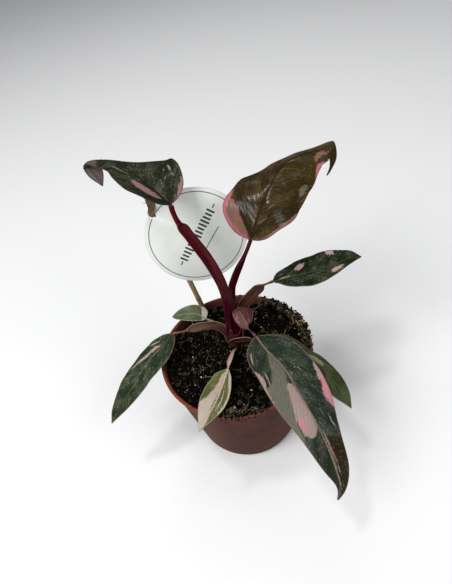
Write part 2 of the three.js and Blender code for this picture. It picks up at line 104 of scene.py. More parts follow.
def addObject(name, data):
    piece = bpy.data.objects.new(name, data)
    bpy.context.collection.objects.link(piece)
    return piece


def pointsOf(mesh):
    spots = np.empty(len(mesh.vertices) * 3)
    mesh.vertices.foreach_get("co", spots)
    return spots.reshape(-1, 3)


def movePoints(mesh, spots):
    mesh.vertices.foreach_set("co", np.asarray(spots, float).ravel())
    mesh.update()


def storeNumber(mesh, name, values):
    mesh.attributes.new(name, "FLOAT", "POINT").data.foreach_set("value", np.asarray(values, float))


def storeVector(mesh, name, *columns):
    values = np.stack(columns, -1)
    mesh.attributes.new(name, "FLOAT_VECTOR", "POINT").data.foreach_set("vector", values.ravel())


def flatSheet(columns, rows, crowding=0.0):
    # a grid to be bent: its points' shares across (-1 to 1) and places along (0 to 1), denser at
    # both ends with crowding, then the rows' places and the row of each point
    deselectAll()
    bpy.ops.mesh.primitive_grid_add(x_subdivisions=columns, y_subdivisions=rows, size=1)
    piece = bpy.context.object
    flat = pointsOf(piece.data)
    place = flat[:, 1] + 0.5
    place = place - crowding * np.sin(2 * np.pi * place)
    stops, row = np.unique(np.round(place, 7), return_inverse=True)
    return piece, flat[:, 0] * 2, place, stops, row


def drawUp(vertices, rings):
    # a round body drawn up from ring to ring, each a radius and a height; left in edit mode
    deselectAll()
    bpy.ops.mesh.primitive_circle_add(vertices=vertices, radius=rings[0][0] * mm, fill_type="NGON")
    piece = bpy.context.object
    startEdit(piece)
    for (lastRadius, lastHeight), (radius, height) in zip(rings, rings[1:]):
        growth = radius / lastRadius
        bpy.ops.mesh.extrude_region_move(TRANSFORM_OT_translate={"value": (0, 0, (height - lastHeight) * mm)})
        bpy.ops.transform.resize(value=(growth, growth, 1), center_override=(0, 0, height * mm))
    return piece


def cutHole(piece, x, y, radius, vertices):
    # a round hole straight through the piece where it lies flat at height 0
    deselectAll()
    bpy.ops.mesh.primitive_cylinder_add(
        vertices=vertices, radius=radius * mm, depth=20 * mm, location=(x * mm, y * mm, 0)
    )
    cutter = bpy.context.object
    cut = piece.modifiers.new("hole", "BOOLEAN")
    cut.object, cut.operation, cut.solver = cutter, "DIFFERENCE", "EXACT"
    applyModifiers(piece)
    bpy.data.objects.remove(cutter)


def softenEdges(piece, width, degrees):
    edge = piece.modifiers.new("edges", "BEVEL")
    edge.width, edge.segments = width * mm, 2
    edge.limit_method, edge.angle_limit = "ANGLE", math.radians(degrees)
    applyModifiers(piece)


# Nodes. Every helper puts its node in the tree that its inputs come from.

class Wire:
    # a node's output that does sums as a number does
    def __init__(self, socket):
        self.socket, self.tree = socket, socket.id_data

    def __add__(self, other):
        return calc("ADD", self, other)

    def __sub__(self, other):
        return calc("SUBTRACT", self, other)

    def __rsub__(self, other):
        return calc("SUBTRACT", other, self)

    def __mul__(self, other):
        return calc("MULTIPLY", self, other)

    def __lt__(self, other):
        return calc("LESS_THAN", self, other)

    def __abs__(self):
        return calc("ABSOLUTE", self)


def feed(node, sockets):
    # gives each input a number, a colour or another node's output
    for key, value in sockets.items():
        if isinstance(value, Wire):
            node.id_data.links.new(value.socket, node.inputs[key])
        else:
            node.inputs[key].default_value = value


def makeNode(tree, kind, sockets, **settings):
    node = tree.nodes.new("ShaderNode" + kind)
    for name, value in settings.items():
        setattr(node, name, value)
    feed(node, sockets)
    return node


def addNode(tree, kind, sockets, out=0, **settings):
    return Wire(makeNode(tree, kind, sockets, **settings).outputs[out])


def treeOf(*values):
    return next(value.tree for value in values if isinstance(value, Wire))


def calc(operation, *values):
    return addNode(treeOf(*values), "Math", dict(enumerate(values)), operation=operation)


def greater(first, second):
    return calc("MAXIMUM", first, second)


def vectorMath(operation, first, second, out=0):
    # vector sums; a second vector, or a number for SCALE
    key = 3 if operation == "SCALE" else 1
    return addNode(treeOf(first, second), "VectorMath", {0: first, key: second}, out, operation=operation)


def ramp(value, low, high, bottom=0.0, top=1.0):
    # a soft step from bottom to top as value goes from low to high
    sockets = {"Value": value, "From Min": low, "From Max": high, "To Min": bottom, "To Max": top}
    return addNode(value.tree, "MapRange", sockets, interpolation_type="SMOOTHSTEP")


def mix(share, first, second, blend="MIX"):
    # a plain colour is given as read off a screen
    tones = [paint(*tone) if isinstance(tone, (tuple, list)) else tone for tone in (first, second)]
    sockets = {0: share, 6: tones[0], 7: tones[1]}
    return addNode(treeOf(share, first, second), "Mix", sockets, 2, data_type="RGBA", blend_type=blend)


def scaled(place, size):
    # size: one number, or one for each axis
    return (vectorMath("MULTIPLY", place, size), 1.0) if isinstance(size, tuple) else (place, size)


def cloud(place, size, detail=3.0, rough=0.55, distortion=0.0):
    # soft noise that changes size times in 1 mm
    place, scale = scaled(place, size)
    sockets = {"Vector": place, "Scale": scale, "Detail": detail, "Roughness": rough, "Distortion": distortion}
    return addNode(place.tree, "TexNoise", sockets)


def cells(place, size):
    # the distance to the nearest cell's middle, and that cell's own colour
    place, scale = scaled(place, size)
    node = makeNode(place.tree, "TexVoronoi", {"Vector": place, "Scale": scale})
    return Wire(node.outputs["Distance"]), Wire(node.outputs["Color"])


def lotOf(cellColour):
    # a random number for each cell
    return addNode(cellColour.tree, "SeparateColor", {0: cellColour})


def axes(vector):
    return [Wire(socket) for socket in makeNode(vector.tree, "SeparateXYZ", {0: vector}).outputs]


def distanceOut(place):
    # from the upright axis
    return vectorMath("LENGTH", vectorMath("MULTIPLY", place, (1, 1, 0)), (0, 0, 0), "Value")


def attribute(tree, name, out="Fac"):
    return addNode(tree, "Attribute", {}, out, attribute_name=name)


def objectPlace(tree):
    # object coordinates in millimetres
    return vectorMath("MULTIPLY", addNode(tree, "TexCoord", {}, "Object"), (1000, 1000, 1000))


def bump(height, depth):
    # depth in mm for a height of 1
    return addNode(height.tree, "Bump", {"Height": height, "Distance": depth * mm})


def newGroup(name, inputs):
    # inputs: each a kind of socket, or the default of a number
    group = bpy.data.node_groups.new(name, "ShaderNodeTree")
    for label, kind in inputs.items():
        named = isinstance(kind, str)
        socket = group.interface.new_socket(
            name=label, in_out="INPUT", socket_type="NodeSocket" + (kind if named else "Float")
        )
        if not named:
            socket.default_value = kind
    return group, {socket.name: Wire(socket) for socket in group.nodes.new("NodeGroupInput").outputs}


def finishGroup(group, results):
    for label in results:
        kind = "Color" if label == "Colour" else "Float"
        group.interface.new_socket(name=label, in_out="OUTPUT", socket_type="NodeSocket" + kind)
    feed(group.nodes.new("NodeGroupOutput"), results)
    return group


def useGroup(tree, group, sockets):
    return {socket.name: Wire(socket) for socket in makeNode(tree, "Group", sockets, node_tree=group).outputs}


def newMaterial(name, coat=0.0, coatRoughness=0.2, specular=0.0):
    material = bpy.data.materials.new(name)
    material.use_nodes = True
    shader = material.node_tree.nodes["Principled BSDF"]
    feed(shader, {"Coat Weight": coat, "Coat Roughness": coatRoughness, "Specular IOR Level": specular})
    return material, material.node_tree, shader


def soilDirtGroup():
    # scattered specks and smears: a mask for soil dust on plastic, cane and card
    group, given = newGroup("soilDirt", {"Place": "Vector", "Speck size": 1.0, "Amount": 0.5})
    near = vectorMath("SCALE", given["Place"], calc("DIVIDE", 1.0, given["Speck size"]))
    distance, cellColour = cells(near, 0.5)
    lot = lotOf(cellColour)
    wide = cloud(near, 0.06, 4)
    kept = ramp(lot + wide * 0.6, 1.25, 0.95)
    rare = lot < given["Amount"] * wide
    return finishGroup(group, {"Mask": ramp(distance, 0.36, 0.16) * rare * kept})


soilDirt = soilDirtGroup()


def dirt(place, size, amount):
    return useGroup(place.tree, soilDirt, {"Place": place, "Speck size": size, "Amount": amount})["Mask"]


# Camera, floor and light

view = {
    "place": (1.6, -234.9, 394.7),
    "elevation": 45,
    "roll": -11.5,
    "lens": 29.589,
    "clip": (0.01, 20),  # in m
}
elevation, roll = math.radians(view["elevation"]), math.radians(view["roll"])
back = Vector((0, -math.cos(elevation), math.sin(elevation)))
levelRight = Vector((1, 0, 0))
levelUp = back.cross(levelRight)
imageRight = levelRight * math.cos(roll) + levelUp * math.sin(roll)
imageUp = levelUp * math.cos(roll) - levelRight * math.sin(roll)
bpy.ops.object.camera_add()
camera = bpy.context.object
camera.name = "camera"
turned = Matrix((imageRight, imageUp, back)).transposed().to_4x4()
camera.matrix_world = Matrix.Translation(Vector(view["place"]) * mm) @ turned
camera.data.lens = view["lens"]
camera.data.clip_start, camera.data.clip_end = view["clip"]
bpy.context.scene.camera = camera
bpy.context.scene.view_settings.view_transform = "Standard"

studio = {
    "world": ((0.94, 0.96, 1.0, 1), 0.24),
    "floor": ((0.78, 0.78, 0.78, 1), 0.9),  # colour and roughness
    "floorSize": 8,
    "floorGap": 0.4,  # below the pot's foot, in mm
    "lamps": [  # place in m, where it points, size in m, watts
        ((-0.8, -0.5, 1.25), (0, 0, 0.12), 0.8, 20),
        ((1.0, -0.7, 1.1), (0, 0, 0.1), 0.9, 9),
        ((0.1, 1.0, 1.2), (0, 0, 0.15), 0.45, 3.0),
        ((-0.34, 0.05, 1.55), (0.03, 0.04, 0.2), 0.16, 4.2),
    ],
}
world = bpy.data.worlds.new("studio")
world.use_nodes = True
feed(world.node_tree.nodes["Background"], dict(zip(("Color", "Strength"), studio["world"])))
bpy.context.scene.world = world
for spot, target, size, watts in studio["lamps"]:
    bpy.ops.object.light_add(type="AREA", location=spot)
    lamp = bpy.context.object
    lamp.data.energy, lamp.data.size = watts, size
    lamp.rotation_euler = (Vector(spot) - Vector(target)).to_track_quat("Z", "Y").to_euler()
bpy.ops.mesh.primitive_plane_add(size=studio["floorSize"], location=(0, 0, -studio["floorGap"] * mm))
floor = bpy.context.object
floor.name = "floor"
floorPaint, tree, shader = newMaterial("paleFloor", specular=0.5)
feed(shader, dict(zip(("Base Color", "Roughness"), studio["floor"])))
floor.data.materials.append(floorPaint)
print("camera, floor and light are up")


# Curves and sections

def eased(rows, column, places):
    # a smooth curve through one column of rows whose first number is the place along it
    rows = np.array(rows, float)
    stops, values = rows[:, 0], rows[:, column]
    slopes = np.gradient(values, stops)
    k = np.clip(np.searchsorted(stops, places) - 1, 0, len(stops) - 2)
    span = stops[k + 1] - stops[k]
    t = (places - stops[k]) / span
    return (
        values[k] * (1 + t * t * (2 * t - 3)) + values[k + 1] * t * t * (3 - 2 * t)
        + span * slopes[k] * t * (1 - t) ** 2 - span * slopes[k + 1] * t * t * (1 - t)
    )


def polar(radius, angle, *height):
    return np.array([radius * math.cos(angle), radius * math.sin(angle), *height])


def softStep(values, low, high):
    t = np.clip((values - low) / (high - low), 0, 1)
    return t * t * (3 - 2 * t)


def framesAlong(points, places, face):
    # spots, directions, upward normals at places from 0 to 1 of a smooth curve through points; its length
    perSpan = 40
    p = [np.array(point, float) for point in points]
    p = [2 * p[0] - p[1], *p, 2 * p[-1] - p[-2]]
    fine = []
    for before, start, end, after in zip(p, p[1:], p[2:], p[3:]):
        a, b, c = (math.sqrt(np.linalg.norm(step)) for step in (start - before, end - start, after - end))
        out = ((start - before) / a - (end - before) / (a + b) + (end - start) / b) * b
        inward = ((end - start) / b - (after - start) / (b + c) + (after - end) / c) * b
        t = np.linspace(0, 1, perSpan, endpoint=after is p[-1])[:, None]
        cubic, square = 2 * start - 2 * end + out + inward, 3 * end - 3 * start - 2 * out - inward
        fine.append(cubic * t**3 + square * t**2 + out * t + start)
    fine = np.concatenate(fine)
    gone = np.r_[0, np.cumsum(np.linalg.norm(np.diff(fine, axis=0), axis=1))]

    def at(where):
        return np.stack([np.interp(np.clip(where, 0, gone[-1]), gone, fine[:, k]) for k in range(3)], -1)

    where = np.asarray(places) * gone[-1]
    spots, tangents = at(where), at(where + 0.5) - at(where - 0.5)
    tangents /= np.linalg.norm(tangents, axis=1, keepdims=True)
    ups, up = [], np.array(face, float)
    for tangent in tangents:
        up = up - up.dot(tangent) * tangent
        up /= np.linalg.norm(up)
        ups.append(up)
    return spots, tangents, np.array(ups), gone[-1]


# Leaves. midrib: points from the petiole's end to the tip. face: where the upper side looks at the base.
# sections: place along, left width, left lift, right width, right lift, roll.
# stalk: points from the crown to the blade. girths: place along, half width, half thickness.
# marks: colour, half width of a streak (0 for an area), then points (across -1 to 1, along 0 to 1).

leaves = {
    "back_left": {
        "midrib": [
            (-24, 46, 208), (-32, 57, 213), (-40, 68, 217), (-55, 89, 222), (-74, 107, 220), (-84.5, 115, 216),
            (-87, 118, 210.3), (-81.6, 110, 205.4), (-76, 100, 201),
        ],
        "sections": [
            (0, 1, 25, 1, 0, 0), (0.04, 8, 25, 12, 5, 0), (0.12, 15, 24, 23, 24, 0), (0.2, 18, 18, 26, 20, 0),
            (0.28, 18, 16, 24, 5, 0), (0.36, 16, 12, 19, -10, 0), (0.45, 12, 2, 15, -26, 0),
            (0.62, 8, -12, 13, -33, 0), (0.78, 3.2, -10, 12, -30, 4), (0.9, 4, 5, 8, -14, 8),
            (1, 0.4, 5, 0.4, 0, 5),
        ],
        "stalk": [
            (-2.5, 9, 90), (-1.4, 15, 110), (-0.3, 22.5, 126), (-0.6, 25.5, 137), (-2.5, 28, 147), (-8, 32.5, 164),
            (-15.7, 37.7, 181), (-21.6, 41.5, 194.4), (-23.6, 44, 203), (-24, 46, 208),
        ],
        "girths": [
            (0, 2.6, 2), (0.25, 3.3, 2.1), (0.45, 4, 2.1), (0.6, 4.3, 2), (0.8, 3.9, 1.8), (0.862, 3.5, 1.8),
            (0.88, 2.3, 1.7), (0.9, 2, 1.6), (1, 2, 1.5),
        ],
        "marks": [
            ("pink", 0, [(-0.5, 0.07), (-0.22, 0.05), (-0.15, 0.08), (-0.2, 0.17), (-0.3, 0.25), (-0.44, 0.27),
                (-0.56, 0.2), (-0.59, 0.13)]),
            ("cream", 0, [(1.05, 0.1), (0.93, 0.1), (0.78, 0.07), (0.72, 0.037), (0.95, 0.005), (1.05, -0.05)]),
            ("grey", 0.5, [(-0.53, 0.48), (-0.42, 0.375), (-0.25, 0.3)]),
            ("grey", 0.8, [(0.76, 0.19), (0.72, 0.15)]), ("grey", 0.6, [(0.72, 0.138), (0.73, 0.113)]),
            ("grey", 0.5, [(0.63, 0.198), (0.57, 0.17)]),
            # On this leaf the brown mark is painted sheen: a paler grey-olive over the outer half of the blade,
            # standing in for glare
            ("brown", 0, [(-1.1, 0.6), (0, 0.66), (1.1, 0.62), (1.1, 1.05), (-1.1, 1.05)]),
        ],
        "face": (0, 0, 1), "lobe": 8, "dark": (28, 32, 22), "green": (48, 52, 36), "cream": (140, 108, 106),
        # this leaf's brown colour is the grey-olive of that painted sheen
        "pink": (144, 104, 106), "grey": (140, 142, 132), "brown": (76, 72, 62), "rib": (30, 30, 26),
        "margin": (66, 54, 50), "under": (108, 98, 94), "slant": 1.0, "lean": 0.4, "flecks": 0.55,
    },
    "back_right": {
        "midrib": [
            (25.4, 20.2, 184.4), (35, 32, 198.5), (45.5, 43, 208.5), (58, 52.5, 218), (80, 58, 219.5),
            (92.5, 55, 222.5), (93.8, 53, 214.5), (90, 50, 208), (85.5, 43, 208),
        ],
        "sections": [
            (0, 1, -20, 1, 25, -20), (0.04, 14, -6, 14, 16, -12), (0.12, 25.5, 6, 24, 12, 2),
            (0.28, 25.7, 0, 25.7, -20, 11), (0.45, 23.2, -32, 26.4, -21, 4), (0.54, 20.5, -31, 27, -11.6, 0.9),
            (0.62, 17.5, -26, 22, -3, -1), (0.8, 9.2, -21, 13.5, 0, -1), (0.92, 2.2, 0, 4, 3, 2),
            (1, 0.3, 8, 0.3, 8, 1),
        ],
        "stalk": [
            (3.5, 10, 90), (4.6, 15, 110), (5, 23, 126), (6.5, 25.5, 137), (9.3, 25, 145.6), (13.3, 23.6, 156),
            (17.7, 21.8, 166.3), (21.8, 20.6, 175.7), (25.5, 20, 185),
        ],
        "girths": [
            (0, 2.4, 2), (0.3, 2.7, 2.1), (0.6, 2.9, 1.9), (0.74, 2.5, 1.7), (0.84, 1.6, 1.5), (1, 1.4, 1.3),
        ],
        "marks": [
            ("pink", 0, [(-1.05, 0.24), (-0.92, 0.245), (-0.84, 0.2), (-0.9, 0.14), (-0.86, 0.1), (-0.76, 0.055),
                (-0.56, 0.015), (-0.6, -0.08), (-1.05, -0.08)]),
            ("cream", 0, [(-0.95, 0.205), (-0.76, 0.2), (-0.55, 0.16), (-0.44, 0.1), (-0.36, 0.03), (-0.62, 0.02),
                (-0.9, 0.06), (-0.95, 0.12)]),
            ("grey", 0.35, [(-0.84, 0.19), (-0.72, 0.12), (-0.5, 0.05)]),
            ("grey", 0.3, [(-0.7, 0.19), (-0.58, 0.12), (-0.42, 0.05)]),
            ("pink", 0.4, [(-0.75, 0.177), (-0.6, 0.135), (-0.47, 0.09), (-0.4, 0.045)]),
            ("cream", 0, [(0.93, -0.04), (0.9, 0.068), (0.92, 0.115), (0.9, 0.168), (0.96, 0.23), (1.05, 0.24),
                (1.05, -0.04)]),
            ("pink", 0, [(0.9, 0.6), (0.78, 0.64), (0.86, 0.69), (0.96, 0.74), (1.05, 0.75), (1.05, 0.56)]),
            ("cream", 0, [(0.43, 0.65), (0.2, 0.698), (0.22, 0.73), (0.45, 0.75), (0.58, 0.71), (0.67, 0.645)]),
            ("cream", 0.5, [(0.68, 0.718), (0.5, 0.765), (0.1, 0.79)]),
            ("grey", 0.5, [(0.2, 0.18), (0.28, 0.22), (0.4, 0.265)]),
            ("grey", 0.5, [(0.13, 0.09), (0.27, 0.12), (0.4, 0.15)]),
            ("grey", 0, [(0.73, 0.375), (0.78, 0.43), (0.97, 0.52), (0.92, 0.413), (0.9, 0.355), (0.83, 0.338)]),
            ("brown", 0, [(-1.1, 0.8), (0.1, 0.8), (0.12, 0.42), (0.5, 0.34), (1.1, 0.4), (1.1, 1.1), (-1.1, 1.1)]),
        ],
        "face": (-0.5, -0.3, 0.8), "lobe": 10, "dark": (40, 31, 13), "green": (60, 47, 22), "cream": (112, 84, 74),
        "pink": (168, 96, 104), "grey": (112, 104, 88), "brown": (48, 40, 14), "rib": (40, 28, 16),
        "margin": (112, 72, 70), "under": (48, 38, 10), "slant": 0.85, "ribWidth": 0.9, "gloss": 0.4,
        "roughness": -0.07, "flecks": 0.6,
    },
    "right": {
        "midrib": [(38, 21, 140), (57, 20, 142), (75, 19, 145), (93, 20, 148), (106, 23, 145)],
        "sections": [
            (0, 0.8, 13, 0.8, 17, -4), (0.05, 6, 10, 6, 22, -6), (0.14, 10, 7, 11, 12, -3), (0.28, 13, 8, 13, 6, 2),
            (0.45, 13, 12, 13, 3, 7), (0.62, 12, 22, 10, 5, 12), (0.8, 8, 24, 6, 10, 11),
            (0.92, 5, 24, 2.5, 12, 11), (1, 0.4, 20, 0.4, 12, 9),
        ],
        "stalk": [
            (5, 15, 92), (8.7, 24, 104), (13.6, 27.3, 114), (19.4, 28, 121), (26.5, 28, 128), (31.3, 26, 133),
            (38, 21, 140),
        ],
        "girths": [
            (0, 2.2, 1.6), (0.2, 3.4, 1.8), (0.4, 4.6, 1.8), (0.65, 4.6, 1.7), (0.76, 3.9, 1.5), (0.815, 1.5, 1.2),
            (1, 1.2, 1.1),
        ],
        "marks": [
            ("cream", 0, [(-0.5, 0.25), (-0.73, 0.305), (-0.67, 0.37), (-0.42, 0.348), (-0.27, 0.285)]),
            ("grey", 0.5, [(-0.18, 0.147), (-0.37, 0.21), (-0.45, 0.27)]),
            ("cream", 0.5, [(0.1, 0.03), (-0.12, 0.09), (-0.12, 0.19)]),
            ("cream", 0, [(-1.05, 0.62), (-1.05, 0.715), (-0.67, 0.71), (-0.68, 0.65)]),
            ("cream", 0, [(0.45, 0.615), (0.37, 0.688), (0.55, 0.76), (0.78, 0.713), (0.7, 0.625)]),
            ("grey", 0.5, [(-0.53, 0.068), (-0.43, 0.133)]), ("grey", 0.4, [(-0.2, 0.45), (-0.5, 0.55)]),
        ],
        "face": (0, 0, 1), "lobe": 3, "dark": (22, 32, 16), "green": (44, 54, 34), "cream": (170, 150, 142),
        "pink": (150, 110, 112), "grey": (98, 100, 84), "rib": (64, 64, 48), "margin": (84, 74, 62),
        "under": (58, 60, 44), "slant": 1.3, "flecks": 0.75,
    },
    "front_right": {
        "midrib": [
            (17.4, -2, 108), (22, -18, 111), (31, -39, 113), (37, -58, 107), (44, -77, 96), (50, -98, 75),
            (51, -108, 60), (48, -113, 55),
        ],
        "sections": [
            (0, 0.8, 7, 0.8, 5, 2), (0.04, 7, 2, 7, 0, 3), (0.12, 16, 4, 15, 4, 1), (0.28, 20, 5, 20.5, 6, 0),
            (0.45, 20, 10, 19.5, 6, 2), (0.63, 15.4, -6, 15.2, 6, -3), (0.8, 12.2, -10, 9.5, 5, -4),
            (0.92, 5.6, 12, 3, 4, 6), (1, 0.4, 12, 0.4, 6, 6),
        ],
        "stalk": [
            (5, 10, 91), (8.3, 19, 103), (10, 22, 112), (10.9, 19, 118.7), (11, 13.5, 119), (10.9, 8.5, 117.5),
            (11, 4.5, 115), (13.5, 2, 112), (17.4, -2, 108),
        ],
        "girths": [
            (0, 2.2, 1.6), (0.26, 3.2, 1.8), (0.42, 3.4, 1.9), (0.49, 4.2, 2), (0.55, 6, 2), (0.62, 7.9, 2),
            (0.69, 7.4, 1.9), (0.75, 6, 1.8), (0.8, 4, 1.6), (0.835, 1.7, 1.5), (1, 1.4, 1.2),
        ],
        "marks": [
            ("grey", 0, [(0.02, 0.125), (0.03, 0.3), (0.17, 0.37), (0.35, 0.422), (0.53, 0.485), (0.73, 0.555),
                (0.85, 0.638), (1.05, 0.66), (1.05, 0.37), (0.87, 0.345), (0.67, 0.33), (0.45, 0.263),
                (0.28, 0.198)]),
            ("cream", 0, [(0.23, 0.36), (0.05, 0.372), (0.02, 0.422), (0, 0.475), (0.02, 0.532), (-0.02, 0.583),
                (0.07, 0.618), (0.35, 0.645), (0.6, 0.64), (0.77, 0.615), (0.73, 0.555), (0.57, 0.487),
                (0.38, 0.43)]),
            ("pink", 0, [(0.55, 0.517), (0.42, 0.525), (0.45, 0.573), (0.57, 0.615), (0.67, 0.598), (0.67, 0.557)]),
            ("cream", 0, [(-0.9, 0.34), (-1.05, 0.32), (-1.05, 0.42), (-0.8, 0.42), (-0.84, 0.38)]),
            ("pink", 0, [(-0.9, 0.4), (-1.05, 0.385), (-1.05, 0.6), (-0.93, 0.56), (-0.76, 0.52), (-0.74, 0.48),
                (-0.82, 0.45)]),
            ("grey", 0, [(-0.8, 0.468), (-0.9, 0.485), (-0.9, 0.515), (-0.75, 0.535), (-0.67, 0.5)]),
            ("cream", 0, [(0.95, 0.225), (0.84, 0.268), (0.86, 0.32), (0.93, 0.36), (0.97, 0.42), (1.05, 0.44),
                (1.05, 0.225)]),
            ("cream", 0.5, [(0.68, 0.247), (0.72, 0.29), (0.75, 0.343)]),
            ("cream", 0.5, [(0.77, 0.11), (0.88, 0.182)]),
            ("grey", 0.9, [(-0.1, 0.63), (-0.12, 0.69), (-0.1, 0.77), (-0.05, 0.84)]),
            ("cream", 0.4, [(0, 0.63), (-0.02, 0.7), (0, 0.78), (-0.02, 0.86), (-0.12, 0.93)]),
            ("pink", 0.4, [(-0.12, 0.66), (-0.15, 0.73), (-0.23, 0.805), (-0.23, 0.865)]),
            ("grey", 0.5, [(-0.37, 0.532), (-0.42, 0.573)]),
            ("cream", 0.5, [(-0.62, 0.57), (-0.67, 0.613), (-0.8, 0.66)]),
            ("cream", 0.5, [(-0.23, 0.288), (-0.38, 0.315), (-0.48, 0.345)]),
            ("brown", 0, [(-0.1, 0.66), (-0.3, 0.68), (-0.8, 0.7), (-1.05, 0.75), (-1.05, 0.97), (-0.3, 0.95),
                (-0.2, 0.8)]),
        ],
        "face": (0, -0.1, 1), "lobe": 8, "dark": (32, 41, 32), "green": (50, 59, 47), "cream": (152, 134, 126),
        "pink": (184, 118, 126), "grey": (116, 112, 98), "brown": (42, 36, 22), "rib": (120, 104, 92),
        "margin": (120, 96, 90), "under": (88, 78, 62), "slant": 1.6, "flecks": 0.7,
    },
    "under_right": {
        "midrib": [(14.5, 0, 99.5), (34, -10.5, 106), (52.4, -26.3, 104.2), (66.6, -41.5, 88), (77, -52.5, 64)],
        "sections": [
            (0, 0.7, 2, 0.7, 5, -5), (0.05, 7, 1, 7, 5, -6), (0.12, 11, -4, 11, 5, -9), (0.28, 14, -12, 14, 4, -13),
            (0.45, 13.5, -22, 13.5, 3, -16), (0.62, 10.5, -9, 11, 2, -8), (0.8, 7.5, 4, 8.5, -3, 2),
            (0.92, 4.5, 12, 3.5, 0, 6), (1, 0.4, 10, 0.4, 4, 5),
        ],
        "stalk": [(-2.5, 5, 97.5), (1.4, 2.6, 102.6), (6.5, 1.4, 103.6), (12, 0.4, 103.2), (16, -0.6, 100.8)],
        "girths": [(0, 2.6, 1.5), (0.3, 3.2, 1.4), (0.75, 3, 1.3), (1, 1.2, 1.1)],
        "marks": [
            ("cream", 0, [(0.02, 0.445), (-0.32, 0.495), (-0.4, 0.56), (-0.28, 0.603), (-0.05, 0.573),
                (0.17, 0.503)]),
            ("grey", 0.5, [(0.47, 0.7), (0.37, 0.802)]),
        ],
        "face": (0.2, 0, 1), "lobe": 4, "dark": (50, 57, 32), "green": (76, 84, 54), "cream": (146, 142, 112),
        "pink": (150, 128, 110), "grey": (100, 104, 78), "rib": (90, 92, 66), "margin": (112, 112, 88),
        "under": (70, 70, 48), "slant": 1.4, "flecks": 0.5,
    },
    "left": {
        "midrib": [
            (-47, 18, 108), (-54, 11, 106.5), (-68, 3, 101), (-85, -9, 87), (-99, -17.5, 74), (-109, -23, 63),
        ],
        "sections": [
            (0, 0.7, 12, 0.7, 9, 2), (0.05, 7, 10, 6.5, 6, 2), (0.12, 11, -2, 10, 1, -2),
            (0.28, 14, -10, 12.5, -7, -3), (0.45, 13, -2, 12, 2, -5), (0.62, 10.5, 2, 10.5, 14, -10),
            (0.8, 6.5, 3, 7, 20, -12), (0.92, 3, 8, 4, 20, -11), (1, 0.4, 10, 0.4, 18, -9),
        ],
        "stalk": [
            (-3, 10, 91), (-4.5, 16, 100), (-11.6, 19.8, 105), (-20.3, 19.9, 107), (-29, 18.7, 108.5),
            (-38, 17, 109), (-47, 18, 108),
        ],
        "girths": [
            (0, 2.6, 1.6), (0.2, 3.4, 1.6), (0.5, 3.3, 1.5), (0.72, 2.8, 1.4), (0.78, 1.3, 1.2), (1, 1.2, 1.1),
        ],
        "marks": [
            ("cream", 0, [(0.12, 0.143), (0.17, 0.2), (0.23, 0.292), (0.53, 0.393), (0.82, 0.487), (0.92, 0.537),
                (0.75, 0.43), (0.45, 0.3), (0.37, 0.198)]),
            ("cream", 0.6, [(0.48, 0.125), (0.65, 0.188), (0.9, 0.247)]),
            ("cream", 0.35, [(-0.02, 0.143), (-0.08, 0.235), (-0.1, 0.348), (0.07, 0.478)]),
            ("grey", 0.5, [(-0.15, 0.49), (-0.08, 0.642)]),
        ],
        "face": (-0.3, 0, 1), "lobe": 4, "dark": (33, 45, 29), "green": (55, 66, 47), "cream": (170, 150, 140),
        "pink": (160, 130, 124), "grey": (112, 116, 100), "rib": (70, 72, 56), "margin": (96, 88, 76),
        "under": (72, 66, 52), "slant": 1.7, "flecks": 0.9,
    },
    "small_left": {
        "midrib": [(-19, 31, 103), (-27, 36, 106.5), (-37, 38, 106.5), (-46.5, 39, 104.5)],
        "sections": [
            (0, 0.6, 15, 0.6, 12, 3), (0.06, 3, 18, 5, 13, 4), (0.14, 5, 17, 7, 12, 4), (0.28, 7, 13, 7.5, 12, 1),
            (0.45, 7, 10, 6.8, 12, -1), (0.62, 6, 9, 5.6, 13, -2), (0.8, 4.2, 9, 3.6, 13, -3),
            (0.92, 2.4, 10, 1.8, 13, -2), (1, 0.3, 11, 0.3, 12, -2),
        ],
        "stalk": [(-2, 14, 91), (-7, 22.5, 98), (-12.9, 26.5, 102), (-19, 31, 103)],
        "girths": [(0, 1.3, 1.2), (0.5, 1.2, 1.1), (1, 0.9, 0.9)],
        "marks": [
            ("cream", 0, [(-1.05, -0.05), (-0.7, 0.09), (0, 0.13), (0.5, 0.2), (1.05, 0.26), (1.05, -0.05)]),
        ],
        "face": (0, -0.5, 1), "lobe": 2, "dark": (72, 80, 58), "green": (92, 98, 74), "cream": (168, 164, 152),
        "pink": (150, 140, 124), "grey": (130, 136, 116), "rib": (120, 124, 100), "margin": (132, 132, 112),
        "under": (96, 98, 78), "slant": 1.2, "flecks": 0.4,
    },
    "small_front": {
        "midrib": [(-8.5, -20, 99.5), (-13, -30, 99.5), (-20, -44, 99.5), (-28, -55, 97.5), (-36, -63, 93)],
        "sections": [
            (0, 0.5, 16, 0.5, 14, 1), (0.05, 2, 18, 3, 17, 1), (0.12, 4.5, 21, 7, 14, 3),
            (0.28, 7.5, 19, 10, 15, 2), (0.45, 8.5, 11, 11.3, 15, -2), (0.62, 7.5, 6, 11, 14, -5),
            (0.8, 4, 7, 7.5, 14, -5), (0.92, 1.5, 12, 3.5, 13, -2), (1, 0.3, 12, 0.3, 13, -2),
        ],
        "stalk": [(0.5, 3, 91), (-2.4, -2.8, 96), (-5.8, -12, 99), (-8.5, -20, 99.5)],
        "girths": [
            (0, 1.6, 1.3), (0.35, 2.6, 1.2), (0.6, 3.4, 1.2), (0.8, 2.8, 1.1), (0.92, 0.8, 0.8), (1, 0.8, 0.8),
        ],
        "marks": [
            ("cream", 0, [(0.45, -0.05), (0.4, 0.16), (0.36, 0.3), (0.5, 0.44), (0.66, 0.56), (0.95, 0.65),
                (1.05, 0.68), (1.05, 1.05), (-0.4, 1.05), (-0.36, 0.88), (0, 0.76), (0.1, 0.61), (0.05, 0.47),
                (-0.02, 0.3), (-0.2, 0.16), (-0.2, -0.05)]),
